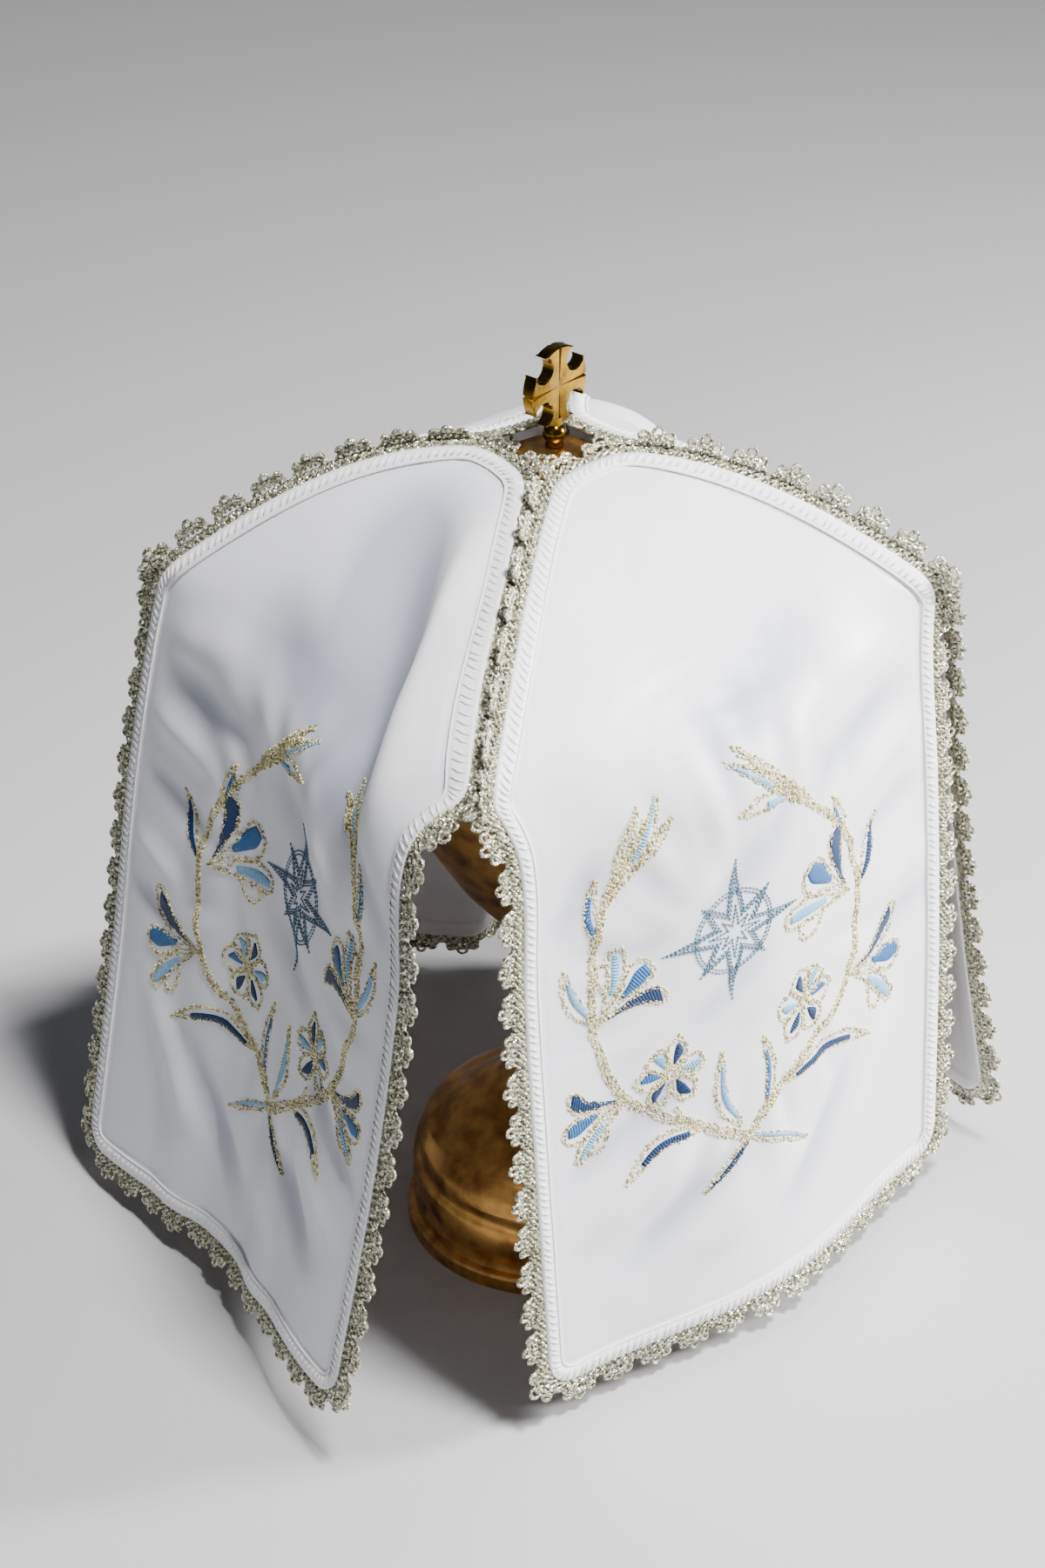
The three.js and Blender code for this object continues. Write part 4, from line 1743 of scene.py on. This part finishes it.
    def _fan_places(self, whole: float) -> tuple[np.ndarray, np.ndarray, np.ndarray]:
        """Fans along the edge, and one more at each corner where a seam opens.

        Args:
            whole: Length of the panel's edge.

        Returns:
            Places of the fans, how tall each is and how far it lies over a seam.
        """
        plan, step = self.plan, self.cut.outline_step
        loop, _ = self.cut.outline()
        fans = int(round(whole / plan.fan_pitch))
        centre = (np.arange(fans) + 0.5) * whole / fans
        drop = self.cut.below_seam(loop[:, 0], loop[:, 1])
        for side in (-1, 1):
            beside = loop[:, 0] * side > plan.shoulder_from
            near = np.where(beside, np.abs(drop - plan.corner_fan), np.inf)
            centre = np.append(centre, step * np.argmin(near))
        marks = np.arange(len(loop)) * step
        spots = np.stack([np.interp(centre, marks, loop[:, k]) for k in (0, 1)], axis=1)
        below = self.cut.below_seam(spots[:, 0], spots[:, 1])
        free = smooth(0.5, 9.0, below)
        left, right = PANELS[self.name].lace_over
        over = np.where(spots[:, 0] > 0, float(right), float(left))
        hole = np.abs(spots[:, 0]) < plan.hole_half
        free = np.where(hole, plan.hole_free, free)
        chosen = (free > 0.05) | (over > 0.5)
        grow = 0.7 + 0.3 * free + 0.4 * hump((below - 7.0) / 14.0) * ~hole
        grow[fans:] = plan.corner_grow
        free[fans:] = plan.corner_free
        return centre[chosen], grow[chosen], (1.0 - free)[chosen]

    def _heading(self, whole: float) -> tuple[np.ndarray, list]:
        """A thin knobbly band that backs the cords of the heading.

        Args:
            whole: Length of the panel's edge.

        Returns:
            Vertices and faces of the closed band.
        """
        plan = self.plan
        count = int(whole / plan.band_step)
        run = np.arange(count) * whole / count
        s, d = np.meshgrid(run, np.array(plan.band), indexing="ij")
        knob = plan.knob * np.sin(2 * np.pi * s / plan.knob_length) * np.cos(np.pi * d / plan.knob_width)
        top, _ = self._edge_points(s, d, plan.band_top + knob)
        low, _ = self._edge_points(s, d, plan.band_low)
        ring = np.concatenate([top, low[:, ::-1]], axis=1)
        size = ring.shape[1]
        index = np.arange(count * size).reshape(count, size)
        ahead = np.roll(index, -1, axis=0)
        quads = np.stack([index, np.roll(index, -1, axis=1), np.roll(ahead, -1, axis=1), ahead], axis=-1)
        return ring.reshape(-1, 3), quads.reshape(-1, 4).tolist()

    def _fans(
        self,
        keep: Callable[[tuple[np.ndarray, list]], None],
        centre: np.ndarray,
        grow: np.ndarray,
        seam: np.ndarray,
    ) -> None:
        """Fans of arcs and picot loops.

        Args:
            keep: Takes the vertices and faces of each set of cords.
            centre: Places of the fans along the edge.
            grow: How tall each fan is, as a share.
            seam: How far each fan lies over a seam, from 0 to 1.
        """
        plan = self.plan

        def draw(s: np.ndarray, d: np.ndarray, closed: bool, rise: float) -> None:
            """One cord of every fan.

            Args:
                s: Places along the edge from the fan's centre.
                d: Distances out from the edge.
                closed: Whether the cord is a loop.
                rise: Height above the cloth's middle.
            """
            along = centre[:, None] + s[None, :]
            out = plan.fan_foot + (d[None, :] - plan.fan_foot) * grow[:, None]
            slope = plan.seam_slope * np.maximum(out - plan.fan_foot, 0.0)
            lift = rise + seam[:, None] * (plan.seam_lift + slope)
            path, normal = self._edge_points(along, out, lift)
            keep(sweep(path, normal, plan.cord * MM, plan.cord_sides, closed))

        for arch in plan.arches:
            turn = np.linspace(0, np.pi, arch.points)
            draw(arch.half * np.cos(turn), arch.foot + arch.rise * np.sin(turn), False, arch.lift)
        ring = np.arange(plan.picot_points) * 2 * np.pi / plan.picot_points
        for picot in plan.picots:
            along, out = picot.along + picot.wide * np.cos(ring), picot.out + picot.tall * np.sin(ring)
            draw(along, out, True, plan.picot_lift)
        ray = np.linspace(0, 1, 4)
        for s in plan.rays:
            draw(s * (0.7 + 0.5 * ray), plan.ray_foot + plan.ray_length * ray, False, plan.ray_lift)

    def build_needlework(self, work: Needlework) -> list[bpy.types.Object]:
        """Makes the fills and running stitches of an embroidery on this panel.

        Args:
            work: The embroidery.

        Returns:
            The pieces, one for each thread and kind.
        """
        sign = -1.0 if PANELS[self.name].mirrored else 1.0
        pieces = []
        for thread, fills in work.fills.items():
            points, faces, flats, total = [], [], [], 0
            for one, other in fills:
                part = self._fill(one * [sign, 1], other * [sign, 1])
                points.append(part[0])
                flats.append(part[2])
                faces += (part[1] + total).tolist()
                total += len(part[0])
            pieces.append(
                mesh_object(
                    f"fill_{thread.name.lower()}_{self.name.value}",
                    np.vstack(points), faces, self.threads[thread], np.vstack(flats),
                )
            )
        for thread, rows in work.rows.items():
            pieces += self._running(thread, rows, sign)
        return pieces

    def _fill(self, one: np.ndarray, other: np.ndarray) -> tuple[np.ndarray, ...]:
        """A low crowned patch of satin stitch between two rails.

        Args:
            one: First rail.
            other: Second rail.

        Returns:
            Vertices, faces and flat map of the patch.
        """
        across = np.linspace(0, 1, self.fill_columns + 1)
        flat = one[:, None, :] + (other - one)[:, None, :] * across[None, :, None]
        crown = self.fill_edge + self.fill_crown * np.sin(np.pi * across) ** 0.6
        crown = np.broadcast_to(crown, flat.shape[:2]).ravel()
        spots = flat.reshape(-1, 2)
        high = self.surface.at(spots[:, 0], spots[:, 1], self.cloth_half + crown)
        low = self.surface.at(spots[:, 0], spots[:, 1], self.cloth_half - self.fill_root)
        rows, columns = flat.shape[:2]
        faces = sheet_faces(rows, columns)
        first = one[1] - one[0]
        aside = other[rows // 2] - one[rows // 2]
        if first[0] * aside[1] - first[1] * aside[0] > 0:
            faces = faces[:, [0, 3, 2, 1]]
        along = np.concatenate([[0], np.cumsum(np.linalg.norm(np.diff(one, axis=0), axis=1))])
        thread = np.stack(
            [np.tile(across, rows) * self.fill_map, np.repeat(along, columns) * MM], axis=1
        )
        return np.vstack([high, low]), faces, np.vstack([thread, thread])

    def _running(self, thread: Thread, rows: list[np.ndarray], sign: float) -> list[bpy.types.Object]:
        """Running stitches along lines; gold ones are uneven and of two tones.

        Args:
            thread: Thread of the stitches.
            rows: Flat lines they follow.
            sign: -1 where the panel carries the mirrored drawing.

        Returns:
            The stitches, one object for each tone.
        """
        gold = thread is Thread.GOLD
        chance = np.random.default_rng(self.gold_seed)
        lines = [respace(row * [sign, 1], self.gold_pitch if gold else self.row_pitch) for row in rows]
        spots = np.vstack(lines)
        aim = np.vstack([unit(np.gradient(line, axis=0)) for line in lines])
        deep = np.zeros(len(spots), bool)
        if gold:
            turn = chance.normal(0.0, self.gold_turn, len(spots))
            cos, sin = np.cos(turn), np.sin(turn)
            aim = np.stack([aim[:, 0] * cos - aim[:, 1] * sin, aim[:, 0] * sin + aim[:, 1] * cos], axis=1)
            spots = spots + chance.normal(0.0, self.gold_stray, spots.shape)
            deep = chance.random(len(spots)) < self.bronze_share
        size = self.gold_stitch if gold else self.row_stitch
        pieces = []
        tones = [(thread, ~deep), (Thread.BRONZE, deep)] if gold else [(thread, ~deep)]
        for finish, chosen in tones:
            here, ahead, rise = self._lay(spots[chosen], aim[chosen], self.cloth_half + self.row_lift)
            name = f"stitch_{finish.name.lower()}_{self.name.value}"
            pieces.append(self.stitches.sew(name, here, ahead, rise, size, self.threads[finish]))
        return pieces

    def dress(self, work: Needlework) -> list[bpy.types.Object]:
        """Builds every piece of the panel and ties it to the frame.

        Args:
            work: The embroidery it carries.

        Returns:
            The pieces.
        """
        cloth = self.build_cloth()
        lace = self.build_lace()
        extras = [self.build_hem_stitches(), self.build_piping(), *self.build_needlework(work)]
        for piece in (cloth, lace, *extras):
            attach(piece, "root")
        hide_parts(f"panel_{self.name.value}")
        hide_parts(f"lace_{self.name.value}")
        self.cut.area()
        return [cloth, lace, *extras]


@dataclass
class Ciborium:
    """The gilt vessel under the veil: foot, stem, bowl, lid and finial."""

    metal: bpy.types.Material
    worked: bpy.types.Material
    segments: int = 120
    lid_top: float = 265.5
    neck_radius: float = 2.6
    ball_radius: float = 3.4
    ball_z: float = 269.5
    cross_z: float = 283.8
    cross_radius: float = 11.6
    cross_thick: float = 4.0
    cross_turn: float = 50.0
    notch_radius: float = 3.5
    notch_reach: float = 9.3
    chamfer: float = 0.35
    groove: float = 1.1
    swirl_depth: float = 1.1
    swirl_foot: tuple[float, float] = (6.5, 9.0)
    swirl_top: tuple[float, float] = (50.0, 58.0)
    foot: tuple[tuple[float, float], ...] = (
        (45, 0), (45, 4.2), (44.4, 5), (42.6, 5.6), (42.4, 6.6), (43.2, 9), (43.5, 15), (43.2, 21),
        (42.4, 26), (41, 31), (38.5, 36), (34.5, 40), (29, 44), (23, 47.5), (18, 51), (14, 56), (11.4, 61),
    )
    stem: tuple[tuple[float, float], ...] = (
        (10.2, 63), (10.9, 64.5), (10.2, 66), (8.6, 68), (8.4, 76), (9.4, 79), (10.6, 83), (9.4, 87),
        (8.4, 90), (8.6, 99), (10, 101.5), (10.6, 103), (10, 104.5),
    )
    bowl: tuple[tuple[float, float], ...] = (
        (14, 109), (22, 118), (28.5, 126), (34, 135), (40, 145), (45, 156), (49, 168), (52, 180),
        (53.4, 193), (54, 203), (53.4, 205),
    )
    lid: tuple[tuple[float, float], ...] = (
        (54.4, 205.3), (55, 206), (55, 208.4), (54, 209.4), (51, 213), (48, 218), (44, 224.3), (40, 230.4),
        (36, 236.4), (31.5, 242.8), (27, 248.8), (23, 253.9), (19, 258.2), (15, 261.4), (11, 263.8), (7, 265),
        (4, 265.5),
    )

    def _turned(self, name: str, profile: list[tuple[float, float]], swirl: float) -> bpy.types.Object:
        """A turned solid, with swirling hollows where the profile widens into the foot.

        Args:
            name: Object name.
            profile: Radii and heights from the bottom up.
            swirl: Depth of the hollows.

        Returns:
            The turned piece.
        """
        table = np.array(profile, float)
        run = np.concatenate([[0], np.cumsum(np.linalg.norm(np.diff(table, axis=0), axis=1))])
        marks = np.unique(np.concatenate([run, np.arange(0, run[-1], 2.0)]))
        r, z = np.interp(marks, run, table[:, 0]), np.interp(marks, run, table[:, 1])
        angle = np.arange(self.segments) * 2 * np.pi / self.segments
        relief = np.zeros((len(r), self.segments))
        if swirl:
            band = smooth(*self.swirl_foot, z) * (1 - smooth(*self.swirl_top, z))
            sway = 1.8 * np.sin(2 * angle[None, :] + 0.06 * z[:, None])
            turn = 5 * angle[None, :] + 0.55 * z[:, None] + sway
            relief = -swirl * (0.5 + 0.5 * np.sin(turn)) ** 3 * band[:, None]
        radius = r[:, None] + relief
        level = np.broadcast_to(z[:, None], radius.shape)
        rings = np.stack([radius * np.cos(angle), radius * np.sin(angle), level], axis=-1)
        points = np.vstack([rings.reshape(-1, 3), [[0, 0, z[0]], [0, 0, z[-1]]]]) * MM
        index = np.arange(len(r) * self.segments).reshape(len(r), self.segments)
        beside = np.roll(index, -1, axis=1)
        quads = np.stack([index[:-1], beside[:-1], beside[1:], index[1:]], axis=-1).reshape(-1, 4).tolist()
        low, high = len(points) - 2, len(points) - 1
        quads += [[low, int(b), int(a)] for a, b in zip(index[0], beside[0])]
        quads += [[high, int(a), int(b)] for a, b in zip(index[-1], beside[-1])]
        piece = mesh_object(name, points, quads, self.worked)
        piece.data.set_sharp_from_angle(angle=math.radians(40))
        return piece

    def build_cup(self) -> bpy.types.Object:
        """Foot, stem and bowl turned in one."""
        return self._turned("cup_gilt", [*self.foot, *self.stem, *self.bowl], self.swirl_depth)

    def build_lid(self) -> bpy.types.Object:
        """The domed lid."""
        return self._turned("lid_gilt", list(self.lid), 0.0)

    def build_finial(self) -> bpy.types.Object:
        """Cross with flared, grooved arms on a small ball and neck.

        Returns:
            The finial.
        """
        mesh = bmesh.new()
        for arm in range(4):
            for hand in (1, -1):
                for side in (1, -1):
                    self._half_arm(mesh, math.radians(90 * arm), hand, side)
        bmesh.ops.remove_doubles(mesh, verts=mesh.verts, dist=0.01)
        bmesh.ops.recalc_face_normals(mesh, faces=mesh.faces)
        turn = math.radians(self.cross_turn)
        for vert in mesh.verts:
            x, y, z = vert.co
            vert.co = (
                x * math.cos(turn) + z * math.sin(turn),
                x * math.sin(turn) - z * math.cos(turn),
                y + self.cross_z,
            )
        ball = bmesh.ops.create_uvsphere(mesh, u_segments=32, v_segments=20, radius=self.ball_radius)
        bmesh.ops.translate(mesh, verts=ball["verts"], vec=(0, 0, self.ball_z))
        low, high = self.lid_top + 0.3, self.cross_z - self.cross_radius + 2.2
        neck = bmesh.ops.create_cone(
            mesh, cap_ends=True, segments=32, radius1=self.neck_radius, radius2=self.neck_radius * 0.8,
            depth=high - low,
        )
        bmesh.ops.translate(mesh, verts=neck["verts"], vec=(0, 0, (high + low) / 2))
        for vert in mesh.verts:
            vert.co = vert.co * MM
        data = bpy.data.meshes.new("finial_gilt")
        mesh.to_mesh(data)
        mesh.free()
        data.materials.append(self.metal)
        data.polygons.foreach_set("use_smooth", [True] * len(data.polygons))
        data.set_sharp_from_angle(angle=math.radians(24))
        piece = bpy.data.objects.new("finial_gilt", data)
        bpy.context.scene.collection.objects.link(piece)
        return piece

    def _half_arm(self, mesh: bmesh.types.BMesh, spin: float, hand: int, side: int) -> None:
        """One half of an arm on one face: top sloping to the groove, chamfer and half the wall.

        Args:
            mesh: Mesh that takes the faces.
            spin: Direction of the arm.
            hand: Which half of the arm.
            side: Front or back face.
        """
        diagonal, half, reach = math.pi / 4, self.cross_thick / 2, self.notch_reach
        meet = (reach**2 + self.cross_radius**2 - self.notch_radius**2) / (2 * reach)
        aside = math.sqrt(self.cross_radius**2 - meet**2)
        edge = diagonal - math.atan2(aside, meet)
        mouth = math.atan2(aside, meet - reach)
        turns = np.linspace(0, edge, 11)
        rim = [(self.cross_radius * math.cos(a), self.cross_radius * math.sin(a)) for a in turns]
        centre = self.notch_reach * math.cos(diagonal)
        for a in np.linspace(diagonal - mouth, diagonal - math.pi, 15):
            rim.append((centre + self.notch_radius * math.cos(a), centre + self.notch_radius * math.sin(a)))
        line = np.array(rim)
        along = unit(np.gradient(line, axis=0))
        inner = line + self.chamfer * np.stack([-along[:, 1], along[:, 0]], axis=1)
        inner[0, 1] = 0.0
        inner[-1] = line[-1] - self.chamfer * math.sqrt(0.5)
        heights = np.full(len(line), half)
        heights[0] = half - self.groove
        shape = [Vector((0.0, 0.0, 0.0)), *[Vector((x, y, 0.0)) for x, y in inner]]

        def vert(x: float, y: float, z: float) -> bmesh.types.BMVert:
            """A corner turned into the arm's direction.

            Args:
                x: Place along the arm.
                y: Place across it.
                z: Height on its face.

            Returns:
                The corner.
            """
            y *= hand
            c, s = math.cos(spin), math.sin(spin)
            return mesh.verts.new((x * c - y * s, x * s + y * c, side * z))

        top = [vert(0.0, 0.0, half - self.chamfer)]
        top += [vert(x, y, z) for (x, y), z in zip(inner, heights)]
        for triangle in tessellate_polygon([shape]):
            mesh.faces.new([top[i] for i in triangle])
        brim = [vert(x, y, z - self.chamfer) for (x, y), z in zip(line, heights)]
        base = [vert(x, y, 0.0) for x, y in line]
        for i in range(len(line) - 1):
            mesh.faces.new((top[i + 1], top[i + 2], brim[i + 1], brim[i]))
            mesh.faces.new((brim[i], brim[i + 1], base[i + 1], base[i]))

    def dress(self) -> list[bpy.types.Object]:
        """Builds the vessel's pieces and ties them to the frame.

        Returns:
            The pieces.
        """
        pieces = {
            "ciborium_cup": self.build_cup(),
            "ciborium_lid": self.build_lid(),
            "finial_cross": self.build_finial(),
        }
        for node, piece in pieces.items():
            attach(piece, "root")
            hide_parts(node)
        return list(pieces.values())


@dataclass(frozen=True)
class Lamp:
    """A soft square light: place and side in metres, watts, and share of warmth."""

    name: str
    place: tuple[float, float, float]
    size: float
    power: float
    warm: float


@dataclass
class Studio:
    """Floor, lights and camera."""

    camera_place: tuple[float, float, float] = (-0.0088, -0.8460, 0.6663)
    target: tuple[float, float, float] = (-0.0088, 0.0, 0.156)
    lens: float = 77.26
    sensor: float = 36.0
    floor_half: float = 6.0
    floor_front: float = -3.52
    floor_back: float = 2.2
    bend_radius: float = 0.8
    backdrop_top: float = 3.2
    lamps: tuple[Lamp, ...] = (
        Lamp("key", (1.00, 0.10, 0.42), 0.22, 34.0, 0.12),
        Lamp("fill", (-0.6, -1.2, 0.8), 1.0, 0.6, -0.7),
        Lamp("top", (0.32, -0.42, 1.36), 0.22, 42.0, 0.0),
    )
    lamp_target: tuple[float, float, float] = (0.0, 0.0, 0.15)
    sky: tuple[float, float, float] = (0.74, 0.79, 0.90)
    sky_strength: float = 0.08

    def build_floor(self) -> None:
        """A pale floor that curves up into a backdrop."""
        bend, radius = np.linspace(0, np.pi / 2, 13), self.bend_radius
        y = np.concatenate(
            [[self.floor_front], self.floor_back + radius * np.sin(bend), [self.floor_back + radius]]
        )
        z = np.concatenate([[0.0], radius - radius * np.cos(bend), [self.backdrop_top]])
        points = [(x, b, c) for b, c in zip(y, z) for x in (-self.floor_half, self.floor_half)]
        faces = [(2 * i, 2 * i + 1, 2 * i + 3, 2 * i + 2) for i in range(len(y) - 1)]
        floor = mesh_object("floor", np.array(points), faces, FloorFinish().make())

    def light(self, lamp: Lamp) -> None:
        """Adds a soft area light aimed at the veil.

        Args:
            lamp: The light's place, size and strength.
        """
        data = bpy.data.lights.new(lamp.name, "AREA")
        data.size = lamp.size
        data.energy = lamp.power
        data.color = (1.0, 1.0 - 0.10 * lamp.warm, 1.0 - 0.22 * lamp.warm)
        self._set_up(bpy.data.objects.new(lamp.name, data), lamp.place, self.lamp_target)

    def _set_up(
        self,
        item: bpy.types.Object,
        place: tuple[float, float, float],
        target: tuple[float, float, float],
    ) -> None:
        """Puts a light or camera in its place, its -Z on a target and its +Y up.

        Args:
            item: The light or camera.
            place: Where it stands.
            target: What it points at.
        """
        aim = np.array(target) - np.array(place)
        flat = math.hypot(aim[0], aim[1])
        item.location = place
        item.rotation_euler = (math.atan2(flat, -aim[2]), 0.0, -math.atan2(aim[0], aim[1]))
        bpy.context.scene.collection.objects.link(item)

    def build_camera(self) -> None:
        """Camera at the photograph's angle."""
        data = bpy.data.cameras.new("camera")
        data.lens = self.lens
        data.sensor_width = self.sensor
        data.sensor_fit = "AUTO"
        camera = bpy.data.objects.new("camera", data)
        self._set_up(camera, self.camera_place, self.target)
        bpy.context.scene.camera = camera

    def build(self) -> None:
        """Sets the whole studio."""
        self.build_floor()
        for lamp in self.lamps:
            self.light(lamp)
        world = bpy.data.worlds.new("studio")
        world.use_nodes = True
        sky = world.node_tree.nodes["Background"]
        sky.inputs["Color"].default_value = (*self.sky, 1.0)
        sky.inputs["Strength"].default_value = self.sky_strength
        bpy.context.scene.world = world
        self.build_camera()


def main() -> None:
    """Builds the pieces in order and reports each."""
    logging.basicConfig(level=logging.INFO, format="%(name)s: %(message)s")
    cut = VeilCut()
    threads = {thread: thread.value.make() for thread in Thread}
    satin, silver = SatinFinish().make(), LaceFinish().make()
    work = Needlework()
    LilyWreath().draw(work)
    Star().draw(work)
    stitches = StitchTree()
    for name in PanelName:
        panel = Panel(name, cut, stitches, threads, satin, silver)
        for piece in panel.dress(work):
            LOG.info("%s: %d faces", piece.name, len(piece.data.polygons))
    vessel = Ciborium(POLISHED_GILT.make(), WORKED_GILT.make())
    for piece in vessel.dress():
        LOG.info("%s: %d faces", piece.name, len(piece.data.polygons))
    Studio().build()


if __name__ == "__main__":
    main()
